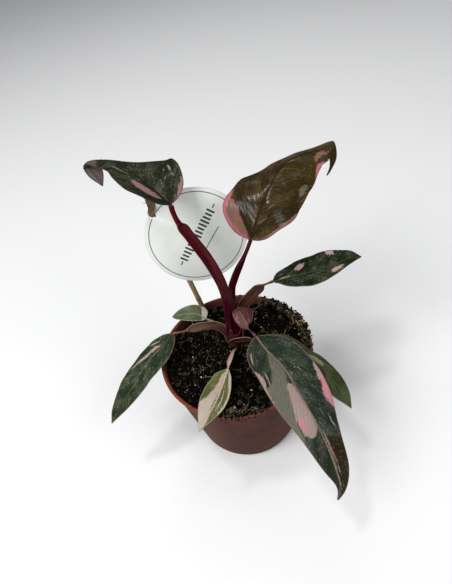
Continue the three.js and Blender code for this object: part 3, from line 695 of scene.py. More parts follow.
            ("cream", 0, [(-0.35, -0.05), (-0.5, 0.08), (-0.66, 0.24), (-0.82, 0.41), (-0.84, 0.55), (-0.8, 0.68),
                (-1.1, 0.74), (-1.1, -0.05)]),
            ("cream", 0.4, [(-0.3, 0.3), (-0.45, 0.5), (-0.4, 0.7)]),
        ],
        "face": (0, -0.1, 1), "lobe": 2, "dark": (76, 80, 42), "green": (102, 102, 66), "cream": (178, 164, 152),
        "pink": (172, 142, 134), "grey": (124, 128, 92), "rib": (186, 170, 150), "margin": (140, 136, 104),
        "under": (140, 134, 108), "slant": 1.7, "flecks": 0.5,
    },
}


bladeMake = {
    "grid": (48, 96),  # across and along
    "bow": -15,  # each half curves down by this over its width
    "lobeReach": 0.3,
    "thickness": 0.55,
    "ribThickness": 1.7,  # under the midrib's foot
    "ribWidth": 0.55,
    "veins": 5.2,  # from one side vein to the next
    "veinBend": 0.012,  # how fast a side vein turns forward, on top of the leaf's own slant
    "groove": 0.35,  # depth along the midrib
    "grooveWidth": 1.1,
    "quilting": 0.13,  # height between the side veins
    "waves": 0.35,  # height along the margin of a half 20 mm wide
    "waveCounts": (19, 43),  # of the long and the short ones, as angles over the length
    "gloss": 0.18,
    "relief": 0.16,
    "under": {"gloss": 0.06, "relief": 0.22, "roughness": 0.14, "flecks": 0.4},
    # for blades whose left half is nowhere wider than below
    "small": {"below": 15, "grid": (32, 64), "veins": 3.2, "shrink": 0.6},
}
fields = ("cream", "pink", "grey", "brown")
bladeColours = ("dark", "green", *fields, "rib", "margin")


def bladeSkinGroup():
    # a variegated blade: greens, areas from the stored fields with streaky edges, flecks, veins, margin
    group, given = newGroup("bladeSkin", {
        "Place": "Vector", "Edge": 0.0, "Rib field": 0.0,
        **{field.capitalize() + " field": 0.0 for field in fields},
        **{part.capitalize() + " colour": "Color" for part in bladeColours},
        "Flecks": 0.5, "Vein spacing": 5.0,
    })
    place, flecks = given["Place"], given["Flecks"]
    dark, green, cream, pink, grey, brown, ribTone, marginTone = (
        given[part.capitalize() + " colour"] for part in bladeColours
    )
    streak = cloud(place, (0.14, 0.62, 0), 4, 0.62)
    fine = cloud(place, (0.4, 2.6, 0), 3, 0.6)
    patch = cloud(place, (0.07, 0.05, 0.05))
    wander = streak * 0.44 + fine * 0.24 - 0.34

    def area(field, low, high):
        return ramp(given[field + " field"] + wander, low, high)

    # flecks: short pale dashes that follow the veins, and single bits, thicker in some areas
    dashes = cloud(place, (0.62, 1.5, 0), 4, 0.75)
    dash = ramp(dashes + ramp(patch, 0.38, 0.62) * 0.06, 0.63, 0.67)
    distance, cellColour = cells(place, (0.75, 1.5, 0))
    chosen = lotOf(cellColour) < flecks * ramp(patch, 0.36, 0.64, 0.06, 0.5)
    fleck = greater(dash * flecks * 0.75, ramp(distance, 0.36, 0.22) * chosen * 0.85)

    colour = mix(ramp(patch + streak * 0.3 - 0.15, 0.4, 0.62), dark, green)
    # The brown field is the leaf's own brown on most leaves; on the back-left leaf it carries painted sheen
    brownAndSheenArea = area("Brown", 0.4, 0.6)
    colour = mix(brownAndSheenArea, colour, brown)
    colour = mix(fleck, colour, mix(0.6, grey, cream))
    greyTone = mix(ramp(fine, 0.42, 0.62, 0.0, 0.7), grey, green)
    colour = mix(area("Grey", 0.46, 0.56) * 0.9, colour, greyTone)
    creamArea = area("Cream", 0.47, 0.54)
    blush = ramp(cloud(place, (0.1, 0.22, 0.05), 2), 0.42, 0.66)
    creamTone = mix(ramp(dashes, 0.56, 0.66, 0.0, 0.55), mix(blush * 0.24, cream, pink), green)
    colour = mix(creamArea * 0.95, colour, creamTone)
    pinkArea = area("Pink", 0.46, 0.56)
    pinkTone = mix(ramp(fine, 0.46, 0.68, 0.0, 0.5), pink, cream)
    colour = mix(pinkArea * 0.93, colour, pinkTone)

    # side veins, the finer lines between them, the midrib and the margin
    half = given["Vein spacing"] * 0.5
    waver = patch * 3.0 + axes(place)[1]
    veinLine = ramp(calc("PINGPONG", waver, half), 0.55, 0.05)
    fineLine = ramp(calc("PINGPONG", waver, half * 0.17), 0.3, 0.0)
    colour = mix(veinLine * 0.14, colour, dark)
    rib = ramp(given["Rib field"], 0.42, 0.62)
    colour = mix(rib * 0.85, colour, ribTone)
    margin = ramp(given["Edge"] + wander, 0.85, 0.1)
    colour = mix(margin * 0.8, colour, marginTone)
    tone = ramp(fine, 0.3, 0.7, 0.86, 1.12)
    shade = addNode(group, "CombineColor", {0: tone, 1: tone, 2: tone})

    shine = ramp(streak * 0.5 + fine * 0.5, 0.44, 0.56, 0.12, 1.0)
    pores, _ = cells(place, 1.6)
    return finishGroup(group, {
        "Colour": mix(1.0, colour, shade, "MULTIPLY"),
        "Roughness": streak * 0.16 + greater(creamArea, pinkArea) * 0.08 + fleck * 0.1 + 0.27,
        "Gloss": shine * (1 - rib * 0.9) * (1 - brownAndSheenArea * 0.8),
        "Height": streak * 0.5 - veinLine * 0.55 - fineLine * 0.12 - rib * 0.3 + pores * 0.1 + 0.5,
    })


bladeSkin = bladeSkinGroup()


def bladeMaterial(name, leaf, veins, under):
    material, tree, shader = newMaterial(name)
    sockets = {
        "Place": attribute(tree, "bladePlace", "Vector"),
        "Edge": attribute(tree, "edgeDistance"),
        "Rib field": attribute(tree, "ribField"),
        "Flecks": leaf["flecks"] * (bladeMake["under"]["flecks"] if under else 1),
        "Vein spacing": veins,
    }
    for field in fields:
        sockets[field.capitalize() + " field"] = attribute(tree, field + "Field")
    for part in bladeColours:
        hidden = under and part in ("dark", "green", "brown")
        shown = leaf["under"] if hidden else leaf.get(part, leaf["dark"])  # not every leaf has brown marks
        sockets[part.capitalize() + " colour"] = paint(*shown)
    skin = useGroup(tree, bladeSkin, sockets)
    side = bladeMake["under"] if under else {**bladeMake, "roughness": 0, **leaf}
    feed(shader, {
        "Base Color": skin["Colour"],
        "Roughness": skin["Roughness"] + side["roughness"],
        "Coat Weight": skin["Gloss"] * side["gloss"],
        "Normal": bump(skin["Height"], side["relief"]),
    })
    return material


def markField(marks, x, y, sections, length):
    # 0.5 on a mark's outline, more inside it, 0.1 for each mm
    field = np.zeros(len(x))
    points = np.arange(len(x))
    for halfWidth, outline in marks:
        corners = np.array(outline if halfWidth else [*outline, outline[0]], float)
        steps = np.arange(0, len(corners) - 1 + 0.01, 0.2)
        share, place = (np.interp(steps, range(len(corners)), corners[:, k]) for k in (0, 1))
        left, right = (eased(sections, column, np.clip(place, 0, 1)) for column in (1, 3))
        p = np.stack([share * np.where(share < 0, left, right), place * length], -1)
        starts, ends = (p[:-1], p[1:]) if halfWidth else (p, np.roll(p, -1, 0))
        run = ends - starts
        spots = np.stack([x, y], -1)[:, None]
        t = np.clip(((spots - starts) * run).sum(2) / ((run**2).sum(1) + 1e-9), 0, 1)
        gaps = np.linalg.norm(spots - starts - t[..., None] * run, axis=2)
        nearest = gaps.argmin(1)
        gap = gaps[points, nearest]
        if halfWidth:  # a streak thins towards both ends
            gone = (nearest + t[points, nearest]) / len(run)
            signed = 3 * (halfWidth * (0.4 + 0.6 * np.sin(np.pi * gone)) - gap)
        else:
            crossing = (starts[:, 1] > y[:, None]) != (ends[:, 1] > y[:, None])
            slope = run[:, 0] / np.where(run[:, 1] == 0, 1e-9, run[:, 1])
            cut = starts[:, 0] + (y[:, None] - starts[:, 1]) * slope
            inside = (crossing & (x[:, None] < cut)).sum(1) % 2 == 1
            signed = np.where(inside, gap, -gap)
        field = np.maximum(field, np.clip(0.5 + signed * 0.1, 0, 1))
    return field


def makeBlade(name, leaf):
    sections = leaf["sections"]
    small = max(row[1] for row in sections) < bladeMake["small"]["below"]
    size = {**bladeMake, "shrink": 1, **(bladeMake["small"] if small else {})}
    piece, share, place, stops, row = flatSheet(*size["grid"], 0.06)
    mesh = piece.data
    mesh.uv_layers[0].name = "bladeMap"
    spots, tangents, ups, length = framesAlong(leaf["midrib"], stops, leaf["face"])
    tilt = np.radians(eased(sections, 5, stops))[:, None]
    normals = ups * np.cos(tilt) + np.cross(tangents, ups) * np.sin(tilt)
    rights = np.cross(tangents, normals)
    hand = np.sign(share)

    def bySide(left, right):
        return np.where(hand < 0, eased(sections, left, place), eased(sections, right, place))

    widths = np.maximum(bySide(1, 3), 0.2)
    lift = np.radians(bySide(2, 4) - bladeMake["bow"] / 2)
    turn = np.radians(bladeMake["bow"]) * np.abs(share) + 1e-9
    radius = widths * np.abs(share) / turn
    out = radius * (np.sin(lift + turn) - np.sin(lift))
    rise = radius * (np.cos(lift) - np.cos(lift + turn))
    widest = max(max(section[1], section[3]) for section in sections)
    lobe = np.maximum(1 - place / bladeMake["lobeReach"], 0) ** 2
    sweep = leaf["lobe"] * lobe * widths * share**2 / widest

    # groove along the midrib, slight quilting between the veins and a wavy margin
    x, y = share * widths, place * length
    vein = y - sweep * 0.7 - leaf["slant"] * np.abs(x) - bladeMake["veinBend"] * x * x
    body = softStep(np.abs(x), 1.0, 3.5) * softStep(widths - np.abs(x), 0.5, 4)
    ends = softStep(place, 0.0, 0.05) * softStep(1 - place, 0.02, 0.4)
    rise -= bladeMake["groove"] * np.exp(-((x / bladeMake["grooveWidth"]) ** 2)) * ends
    rise += bladeMake["quilting"] * body * np.cos(2 * np.pi * vein / size["veins"]) * size["shrink"]
    seed = sum(map(ord, name)) % 17
    long, short = bladeMake["waveCounts"]
    ripple = np.sin(place * long + seed + hand) + 0.6 * np.sin(place * short + 2 * seed + 2 * hand)
    rise += bladeMake["waves"] * ripple * np.abs(share) ** 4 * widths / 20
    points = spots[row] + rights[row] * (hand * out)[:, None] + normals[row] * rise[:, None]
    movePoints(mesh, (points - tangents[row] * sweep[:, None]) * mm)

    storeVector(mesh, "bladePlace", x, vein, y)
    storeNumber(mesh, "edgeDistance", widths - np.abs(x))
    ribWidth = leaf.get("ribWidth", bladeMake["ribWidth"]) * (1 - place) ** 0.8 + 0.2
    storeNumber(mesh, "ribField", np.clip(0.5 + (ribWidth - np.abs(x)) * 0.3, 0, 1))
    for field in fields:
        marks = [(width, outline) for kind, width, outline in leaf["marks"] if kind == field]
        storeNumber(mesh, field + "Field", markField(marks, x, y, sections, length))

    thick = piece.vertex_groups.new(name="rib")
    ridge = np.exp(-((x / (0.45 * ribWidth + 0.45)) ** 2)) * (1 - 0.85 * place)
    for index, weight in enumerate(ridge):
        thick.add([index], float(weight), "REPLACE")
    wall = piece.modifiers.new("thickness", "SOLIDIFY")
    wall.thickness, wall.offset = bladeMake["ribThickness"] * mm * size["shrink"], -1
    wall.vertex_group = "rib"
    wall.thickness_vertex_group = bladeMake["thickness"] / bladeMake["ribThickness"]
    wall.material_offset = 1
    mesh.materials.append(bladeMaterial("blade_" + name, leaf, size["veins"], False))
    mesh.materials.append(bladeMaterial("underside_" + name, leaf, size["veins"], True))
    applyModifiers(piece)
    piece.vertex_groups.clear()
    smoothShade(piece, 60)
    slotName = "blade_pale" if name == "small_front" else "blade_dark"
    finishPiece(piece, "blade_" + name, slotName, None, "leaf_" + name)


for name, leaf in leaves.items():
    makeBlade(name, leaf)
print("leaf blades are done")


# Petioles: a tube with a hollow front and two thin wings where it sheathes the next leaf

stalks = {
    "sides": 24,
    "rowsPerMm": 0.9,
    "hollow": 0.75,  # how deep the front dips in a sheath, as a share of its thickness
    "relief": 0.12,
    "colours": {  # low, high, streaks, wing edges
        "back_left": ((40, 2, 9), (62, 6, 14), (98, 24, 36), (108, 44, 50)),
        "back_right": ((34, 1, 8), (46, 4, 11), (80, 17, 29), (88, 32, 38)),
        "right": ((52, 18, 20), (80, 54, 44), (124, 94, 76), (124, 98, 82)),
        "front_right": ((48, 15, 22), (76, 46, 44), (112, 80, 74), (128, 98, 90)),
        "under_right": ((50, 22, 22), (74, 46, 40), (96, 66, 56), (132, 108, 96)),
        "left": ((52, 22, 22), (98, 76, 62), (126, 98, 82), (146, 126, 108)),
        "small_left": ((80, 66, 50), (112, 104, 78), (128, 112, 90), (140, 128, 104)),
        "small_front": ((118, 80, 74), (166, 140, 124), (190, 164, 152), (146, 144, 100)),
    },
    # painted highlights on sheaths: colour, start and end in mm across and along
    "sheathHighlights": {"front_right": ((128, 90, 88), (-2.4, 37), (1.6, 48))},
}


def stalkSkinGroup():
    # lengthwise streaks on a glossy stalk, with paler wing edges
    parts = [part + " colour" for part in ("Low", "High", "Streak", "Edge")]
    group, given = newGroup("stalkSkin", {
        "Place": "Vector", "Rise": 0.5, "Wing": 0.0, "Streaks": 0.6, **dict.fromkeys(parts, "Color"),
    })
    place = given["Place"]
    low, high, streak, edge = (given[part] for part in parts)
    broad = cloud(place, (0.55, 0.55, 0.035), 4, 0.6)
    thin = cloud(place, (2.6, 2.6, 0.09), 3, 0.6)
    spots = cloud(place, (0.9, 0.9, 0.5), 4, 0.65)
    colour = mix(ramp(given["Rise"] + broad * 0.5 - 0.25, 0.1, 0.95), low, high)
    lines = ramp(thin * 0.55 + broad * 0.5, 0.5, 0.68) * given["Streaks"]
    colour = mix(lines, colour, streak)
    colour = mix(ramp(spots, 0.6, 0.72, 0.0, 0.35), colour, low)
    wing = ramp(given["Wing"] + thin * 0.3 - 0.15, 0.45, 0.85)
    return finishGroup(group, {
        "Colour": mix(wing * 0.8, colour, edge),
        "Roughness": spots * 0.2 + thin * 0.12 + 0.16,
        "Height": thin * 0.8 + spots * 0.25,
    })


stalkSkin = stalkSkinGroup()


def paintedHighlightAcross(place, colour, pale, start, end):
    # painted highlight on a sheath: a pale line slanting down its fold from start to end (mm across, mm along),
    # with painted light on the side to its left
    slope = (end[0] - start[0]) / (end[1] - start[1])
    across, _, height = axes(place)
    off = across - (height * slope + (start[0] - slope * start[1]))
    begun = ramp(height, start[1] - 1, start[1] + 1)
    side = ramp(off, -0.6, 0.0, 0.3, 0.0)
    line = ramp(abs(off), 0.2, 0.6, 0.8, 0.0)
    return mix(begun * greater(side, line), colour, pale)


def stalkMaterial(name, colours, streaks=0.6, coat=0.22, foldHighlight=None):
    material, tree, shader = newMaterial(name, coat, 0.14)
    place = attribute(tree, "stalkPlace", "Vector")
    sockets = {"Place": place, "Rise": attribute(tree, "rise"), "Wing": attribute(tree, "wing"), "Streaks": streaks}
    for part, shown in zip(("Low", "High", "Streak", "Edge"), colours):
        sockets[part + " colour"] = paint(*shown)
    skin = useGroup(tree, stalkSkin, sockets)
    # where a sheath has a fold highlight, its pale line and lighter left side are painted highlight
    feed(shader, {
        "Base Color": paintedHighlightAcross(place, skin["Colour"], *foldHighlight) if foldHighlight else skin["Colour"],
        "Roughness": skin["Roughness"],
        "Normal": bump(skin["Height"], stalks["relief"]),
    })
    return material


def makeTube(points, girths, face, rows, sides, hollow=0.0, lean=0.0):
    # a closed oval tube along a smooth curve; where it is much wider than thick its front dips.
    # lean moves the wide part towards one wing
    piece, share, place, stops, row = flatSheet(sides, rows, 0.05)
    mesh = piece.data
    mesh.uv_layers[0].name = "stalkMap"
    spots, tangents, ups, length = framesAlong(points, stops, face)
    wide, deep = eased(girths, 1, place), eased(girths, 2, place)
    end = np.minimum(place, 1 - place) * length
    roundness = np.sqrt(np.clip(1 - np.maximum(1 - end / deep, 0) ** 2, 0, 1))
    winged = softStep(wide / deep, 1.25, 2.0)
    c, s = np.cos(share * np.pi), np.sin(share * np.pi)
    front = s * (1 - hollow * 1.5 * winged * np.maximum(s, 0) ** 1.6)
    rear = s * (1 - 0.15 * winged * (1 - np.abs(s)))
    height = np.where(s > 0, front, rear) * deep
    x = c * wide * roundness + lean * np.maximum(wide - 1.5, 0)
    rights = np.cross(tangents, ups)[row]
    movePoints(mesh, (spots[row] + rights * x[:, None] + ups[row] * (height * roundness)[:, None]) * mm)
    storeVector(mesh, "stalkPlace", c * wide, height, place * length)
    storeNumber(mesh, "rise", place)
    storeNumber(mesh, "wing", winged * softStep(np.abs(c), 0.8, 0.99) * (s > -0.35))
    startEdit(piece)
    bpy.ops.mesh.remove_doubles(threshold=0.01 * mm)
    endEdit()
    return piece


for name, leaf in leaves.items():
    reach = sum(math.dist(a, b) for a, b in zip(leaf["stalk"], leaf["stalk"][1:]))
    rows = int(max(24, reach * stalks["rowsPerMm"]))
    piece = makeTube(
        leaf["stalk"], leaf["girths"], (0, -1, 0.2), rows, stalks["sides"], stalks["hollow"], leaf.get("lean", 0)
    )
    smoothShade(piece, 70)
    material = stalkMaterial("petiole_" + name, stalks["colours"][name], foldHighlight=stalks["sheathHighlights"].get(name))
    slotName = "petiole_pale" if name.startswith("small") else "petiole_burgundy"
    finishPiece(piece, "stalk_" + name, slotName, [material], "petiole_" + name)
print("petioles are done")


# Pot: one ring extruded up the outside, over the lip and down the inside

pot = {
    "vertices": 128,
    "profile": [  # radius and height of each ring, from the outer foot to the inner floor
        (41.0, 0), (42.2, 1.2), (43.2, 5.2), (44.0, 6), (47.6, 28.4), (52.4, 58), (57.6, 90.6), (58.0, 92.4),
        (59.2, 92.5), (60.0, 93.2), (60.0, 94.2), (59.3, 95.0), (58.2, 95.0), (57.4, 94.4), (56.75, 92.4),
        (40.2, 1.6),
    ],
    "holes": 8,
    "holeRadius": 3.5,
    "holeCircle": 30,
    "plastic": [(71, 41, 36), (84, 48, 40)],
    # painted highlight: a paler orange along the top of the rim where light falls on it
    "lip": (122, 62, 42),
    "foot": (58, 30, 27),
    "streaks": (106, 70, 60),
    "soil": (38, 27, 20),
}
potPiece = drawUp(pot["vertices"], pot["profile"])
endEdit()
for k in range(pot["holes"]):
    angle = 2 * math.pi * (k + 0.5) / pot["holes"]
    cutHole(potPiece, *polar(pot["holeCircle"], angle), pot["holeRadius"], 24)
softenEdges(potPiece, 0.3, 35)
smoothShade(potPiece, 50)

potPlastic, tree, shader = newMaterial("potPlastic", 0.12, 0.12)
spot = objectPlace(tree)
height = axes(spot)[2]
mottle = cloud(spot, 0.045, 4)
flow = cloud(spot, (0.3, 0.3, 0.02))
colour = mix(ramp(mottle, 0.35, 0.7), *pot["plastic"])
outer = ramp(distanceOut(spot), 57.7, 58.6, 0.15, 1.0)
# the lip colour is a painted highlight along the rim's top, on its outer side
colour = mix(ramp(height, 91.6, 93.4, 0.0, 0.8) * outer, colour, pot["lip"])
colour = mix(ramp(height, 9, 4, 0.0, 0.6), colour, pot["foot"])
colour = mix(ramp(flow, 0.55, 0.75, 0.0, 0.18), colour, pot["streaks"])
soiled = greater(dirt(spot, 1.3, ramp(height, 80, 93, 0.25, 0.9) * 0.9), dirt(spot, 0.6, 0.7) * 0.7)
scuff = ramp(cloud(spot, (0.35, 0.35, 1.54), 5, 0.7), 0.55, 0.75)
feed(shader, {
    "Base Color": mix(soiled * 0.85, colour, pot["soil"]),
    "Roughness": scuff * 0.18 + mottle * 0.12 + soiled * 0.4 + 0.2,
    "Normal": bump(cloud(spot, 0.22) * 0.35 + soiled * 0.7 - scuff * 0.1, 0.25),
})
finishPiece(potPiece, "nursery_pot", "pot_plastic", [potPlastic], "pot")


# Peat: rings drawn in from the wall to the middle, raised into lumps, with a skirt down inside the wall

peat = {
    "radius": 56.1,
    "rings": 52,
    "spokes": 150,
    "top": 90.5,
    "slope": -0.045,
    "waves": 0.66,
    "roughness": 1.1,
    "skirt": (12, 0.95),  # its depth and its share of the top's radius
    "tones": [(6, 5, 4), (24, 19, 13)],
    "hairs": (84, 74, 56),
}


def peatHeight(x, y):
    waves = np.sin(0.21 * x + 1) * np.cos(0.17 * y) + 0.6 * np.sin(0.37 * x - 0.29 * y)
    waves += 0.4 * np.cos(0.5 * y + 0.13 * x)
    return peat["top"] + peat["slope"] * y + peat["waves"] * waves


def peatSkinGroup():
    # damp peat: near-black crumbs with brown fibres and the odd pale fleck
    group, given = newGroup(
        "peatSkin", {"Place": "Vector", "Tone": 0.5, "Dark colour": "Color", "Brown colour": "Color"}
    )
    place = given["Place"]
    lumps = cloud(place, 0.5, 6, 0.7)
    grain, _ = cells(place, 1.3)
    hairs = cloud(place, (0.35, 2.2, 1.2), 4, 0.5, 1.6)
    share = lumps * 0.9 - 0.45 + given["Tone"]
    colour = mix(ramp(share, 0.3, 0.95), given["Dark colour"], given["Brown colour"])
    return finishGroup(group, {
        "Colour": mix(ramp(hairs, 0.64, 0.7, 0.0, 0.45), colour, peat["hairs"]),
        "Roughness": ramp(lumps, 0.3, 0.7, 0.78, 0.98),
        "Height": lumps + grain * 0.6,
    })


peatSkin = peatSkinGroup()


def peatMaterial(name, tones, depth, stored=True):
    # stored: the mesh holds a tone for each crumb
    material, tree, shader = newMaterial(name)
    sockets = {"Place": objectPlace(tree), "Dark colour": paint(*tones[0]), "Brown colour": paint(*tones[1])}
    if stored:
        sockets["Tone"] = attribute(tree, "tone")
    skin = useGroup(tree, peatSkin, sockets)
    feed(shader, {
        "Base Color": skin["Colour"], "Roughness": skin["Roughness"], "Normal": bump(skin["Height"], depth),
    })
    return material


top = (0, 0, peat["top"] * mm)
deselectAll()
bpy.ops.mesh.primitive_circle_add(
    vertices=peat["spokes"], radius=peat["radius"] * mm, fill_type="NOTHING", location=top
)
ground = bpy.context.object
startEdit(ground)
for left in range(peat["rings"], 0, -1):
    step = (left - 1) / left if left > 1 else 0.001
    bpy.ops.mesh.extrude_region_move()
    bpy.ops.transform.resize(value=(step, step, 1), center_override=top)
bpy.ops.mesh.merge(type="CENTER")
bpy.ops.mesh.select_all(action="DESELECT")
bpy.ops.mesh.select_mode(type="EDGE")
bpy.ops.mesh.select_non_manifold()
depth, share = peat["skirt"]
bpy.ops.mesh.extrude_region_move(TRANSFORM_OT_translate={"value": (0, 0, -depth * mm)})
bpy.ops.transform.resize(value=(share, share, 1), center_override=(0, 0, 0))
bpy.ops.mesh.fill()
endEdit()
bpy.ops.object.transform_apply(location=True, rotation=True, scale=True)
spots = pointsOf(ground.data) / mm
onTop = spots[:, 2] > peat["top"] - 2
radii = np.hypot(spots[:, 0], spots[:, 1])
lift = peatHeight(spots[:, 0], spots[:, 1]) - peat["top"]
rough = np.array([
    noise.fractal(Vector(spot * 0.35), 0.7, 2.1, 5) + 0.8 * noise.noise(Vector(spot * 0.11)) for spot in spots
])
rough *= peat["roughness"] * softStep(peat["radius"] - radii, -1, 5)
spots[:, 2] += np.where(onTop, lift + rough, 0)
movePoints(ground.data, spots * mm)
smoothShade(ground, 80)
finishPiece(ground, "peat_ground", "peat", [peatMaterial("peat", peat["tones"], 0.8, False)], "soil")


# Loose bits on the peat and the rim. The draws come in a fixed order, so that every run gives the same bits

bits = {
    "crumbs": [  # how many, least size and what is added, its power, heights, girths, palest tone
        (2600, 0.35, 0.75, 2.2, (-0.1, 0.9), (0.7, 1.25), 1.0),
        (420, 0.9, 2.1, 2.5, (-0.4, 0.8), (0.65, 1.2), 0.8),
    ],
    "spills": [  # middle angle and half spread, how many, radius from and to
        (20, 42, 620, 53, 61.0),
        (262, 17, 260, 54.5, 60.4),
        (300, 30, 130, 54.5, 59.0),
        (340, 25, 90, 54.5, 58.5),
    ],
    "rim": (92.5, 2.6),  # height beside the wall, and how much higher the lip is
    "clinging": (60, 262, 7),  # crumbs on the wall under the front rim: how many, middle angle, spread
    "wall": (43.4, 58.1, 92.4),  # the pot's radius at its foot and under its lip, and that height
    "chips": 70,
    "chipSizes": [(1.6, 3.6), (0.8, 1.5), (0.3, 0.6)],
    "perlite": 110,
    "fibres": 210,
    "crumbTones": [(6, 7, 5), (58, 56, 44)],
    "chipTones": [(28, 21, 15), (84, 66, 48)],
    "perliteTones": [(128, 122, 112), (190, 186, 176)],
    "fibreTones": [(66, 56, 42), (148, 134, 108)],
}


def onPeat(above, reach=peat["radius"] - 0.6):
    # a random spot on the peat, and so much above it
    x, y = polar(reach * math.sqrt(chance.random()), chance.uniform(0, 2 * math.pi))
    lift = chance.uniform(*above) if isinstance(above, tuple) else above
    return np.array([x, y, float(peatHeight(x, y)) + lift])


def finishBits(name, points, faces, tones, material, degrees):
    mesh = bpy.data.meshes.new(name)
    mesh.from_pydata((np.array(points) * mm).tolist(), [], faces)
    storeNumber(mesh, "tone", tones)
    piece = addObject(name, mesh)
    startEdit(piece)
    endEdit()
    smoothShade(piece, degrees)
    finishPiece(piece, name, "peat", [material])


def scatter(name, shapes, material):
    # one mesh of many copies of a 20-faced crumb; shapes: middle, size along three axes, tone
    deselectAll()
    bpy.ops.mesh.primitive_ico_sphere_add(subdivisions=1, radius=1)
    model = bpy.context.object
    ball = pointsOf(model.data)
    faces = np.array([polygon.vertices[:] for polygon in model.data.polygons])
    points, sides, tones = [], [], []
    for middle, size, tone in shapes:
        turn, _ = np.linalg.qr(chance.normal(size=(3, 3)))
        if np.linalg.det(turn) < 0:
            turn[:, 0] *= -1
        bumpy = ball * chance.uniform(0.72, 1.2, (len(ball), 1))
        sides.append(faces + len(points) * len(ball))
        points.append(bumpy * size @ turn.T + middle)
        tones += [tone] * len(ball)
    bpy.data.objects.remove(model)
    finishBits(name, np.concatenate(points), np.concatenate(sides).tolist(), tones, material, 35)


crumbs = []
for count, least, more, power, heights, girths, palest in bits["crumbs"]:
    for _ in range(count):
        size = least + more * chance.random() ** power
        middle = onPeat(heights)
        crumbs.append((middle, size * chance.uniform(*girths, 3), chance.random() ** 1.5 * palest))
wallTop, lip = bits["rim"]
for middleAngle, spread, count, inner, outer in bits["spills"]:
    for _ in range(count):
        angle = math.radians(chance.normal(middleAngle, spread * 0.5))
        radius = chance.uniform(inner, outer)
        size = 0.4 + 0.9 * chance.random() ** 2
        height = wallTop + lip * softStep(radius, 54, 57.5) + size * 0.6
        height += chance.uniform(0, 1.0) * (1 - softStep(radius, 57, 60))
        crumbs.append((polar(radius, angle, height), size * chance.uniform(0.7, 1.2, 3), chance.random()))
count, middleAngle, spread = bits["clinging"]
foot, brow, wallHeight = bits["wall"]
for _ in range(count):
    angle = math.radians(chance.normal(middleAngle, spread))
    height = 91.5 - abs(chance.normal(0, 5))
    radius = foot + (brow - foot) * (height / wallHeight)
    crumbs.append((polar(radius, angle, height), chance.uniform(0.25, 0.6) * np.ones(3), chance.random()))
scatter("peat_crumbs", crumbs, peatMaterial("peatCrumb", bits["crumbTones"], 0.4))

chips = [
    (onPeat(0.8, 54), [chance.uniform(*span) for span in bits["chipSizes"]], chance.random())
    for _ in range(bits["chips"])
]
scatter("bark_chips", chips, peatMaterial("barkChip", bits["chipTones"], 0.5))
pearls = [
    (onPeat(0.9, 55), (0.25 + 0.6 * chance.random() ** 2) * chance.uniform(0.8, 1.2, 3), chance.random())
    for _ in range(bits["perlite"])
]
scatter("perlite_grains", pearls, peatMaterial("perlite", bits["perliteTones"], 0.3))


def fibre(start, heading, length, radius, rings, droop):
    # a thin three-sided fibre that wanders as it goes
    points, faces = [], []
    spot, way = np.array(start, float), np.array(heading, float) / np.linalg.norm(heading)
    for k in range(rings):
        side = np.cross(way, (0.3, 0.2, 1.0))
        side /= np.linalg.norm(side)
        up = np.cross(side, way)
        thin = radius * (1.0 if 0 < k < rings - 1 else 0.25)
        for j in range(3):
            across, above = polar(thin, 2 * math.pi * j / 3)
            points.append(spot + side * across + up * above)
            if k < rings - 1:
                here, beside = 3 * k + j, 3 * k + (j + 1) % 3
                faces.append((here, beside, beside + 3, here + 3))
        spot = spot + way * length / (rings - 1)
        way = way + chance.normal(0, 0.28, 3) * (1, 1, 0.5) + (0, 0, -droop)
        way /= np.linalg.norm(way)
    return points, faces + [(2, 1, 0), (3 * rings - 3, 3 * rings - 2, 3 * rings - 1)]


fibres = []
for _ in range(bits["fibres"]):
    angle = chance.uniform(0, 2 * math.pi)
    start = onPeat(0.9, 54)
    fibres.append((start, polar(1, angle, 0.12), chance.uniform(3, 11), chance.uniform(0.05, 0.14), 7, 0.05))
for middleAngle, spread, count, inner, _ in bits["spills"][:2]:
    for _ in range(count // 6):
        angle = math.radians(chance.normal(middleAngle, spread * 0.5))
        start = polar(chance.uniform(inner, 58.5), angle, 96.0)
        heading = polar(1, chance.uniform(0, 2 * math.pi), 0.1)
        fibres.append((start, heading, chance.uniform(3, 7), chance.uniform(0.1, 0.2), 6, 0.1))
points, faces, tones = [], [], []
for strand in fibres:
    more, sides = fibre(*strand)
    faces += [tuple(index + len(points) for index in side) for side in sides]
    points += more
    tones += [chance.random()] * len(more)
finishBits("peat_fibres", points, faces, tones, peatMaterial("peatFibre", bits["fibreTones"], 0.1), 80)
print("pot and peat are done")


# Stake: a bamboo cane with its nodes, standing in the peat behind the label

cane = {
    "low": (-8.6, 37, 33),
    "high": (-40.9, 73.6, 202.6),
    "radius": 2.2,
    "nodes": [0.16, 0.43, 0.7, 0.93],  # places along it
    "nodeShape": [(-0.012, 1.0), (-0.004, 1.14), (0, 1.0), (0.004, 1.1), (0.014, 0.98)],  # place, girth
    "foot": 0.9,
    "head": [(0.997, 0.98), (1.0, 0.86)],
    "wall": 0.8,
    "hollow": 1,
    "wood": [(96, 75, 44), (150, 126, 86)],
    "blotches": (92, 74, 46),
    "bands": (74, 54, 32),
    "soil": (50, 36, 24),
}
caneLow, caneHigh = Vector(cane["low"]), Vector(cane["high"])
caneLength = (caneHigh - caneLow).length
rings = [(0.0, cane["foot"])]
for node in cane["nodes"]:
    rings += [(node + place, girth) for place, girth in cane["nodeShape"]]
rings += cane["head"]
stick = drawUp(28, [(cane["radius"] * girth, place * caneLength) for place, girth in rings])
bpy.ops.mesh.inset(thickness=cane["wall"] * mm)
bpy.ops.mesh.extrude_region_move(TRANSFORM_OT_translate={"value": (0, 0, -cane["hollow"] * mm)})
endEdit()
storeVector(stick.data, "canePlace", *(pointsOf(stick.data) / mm).T)
turned = (caneHigh - caneLow).to_track_quat("Z", "Y").to_matrix().to_4x4()
stick.data.transform(Matrix.Translation(caneLow * mm) @ turned)
smoothShade(stick, 50)

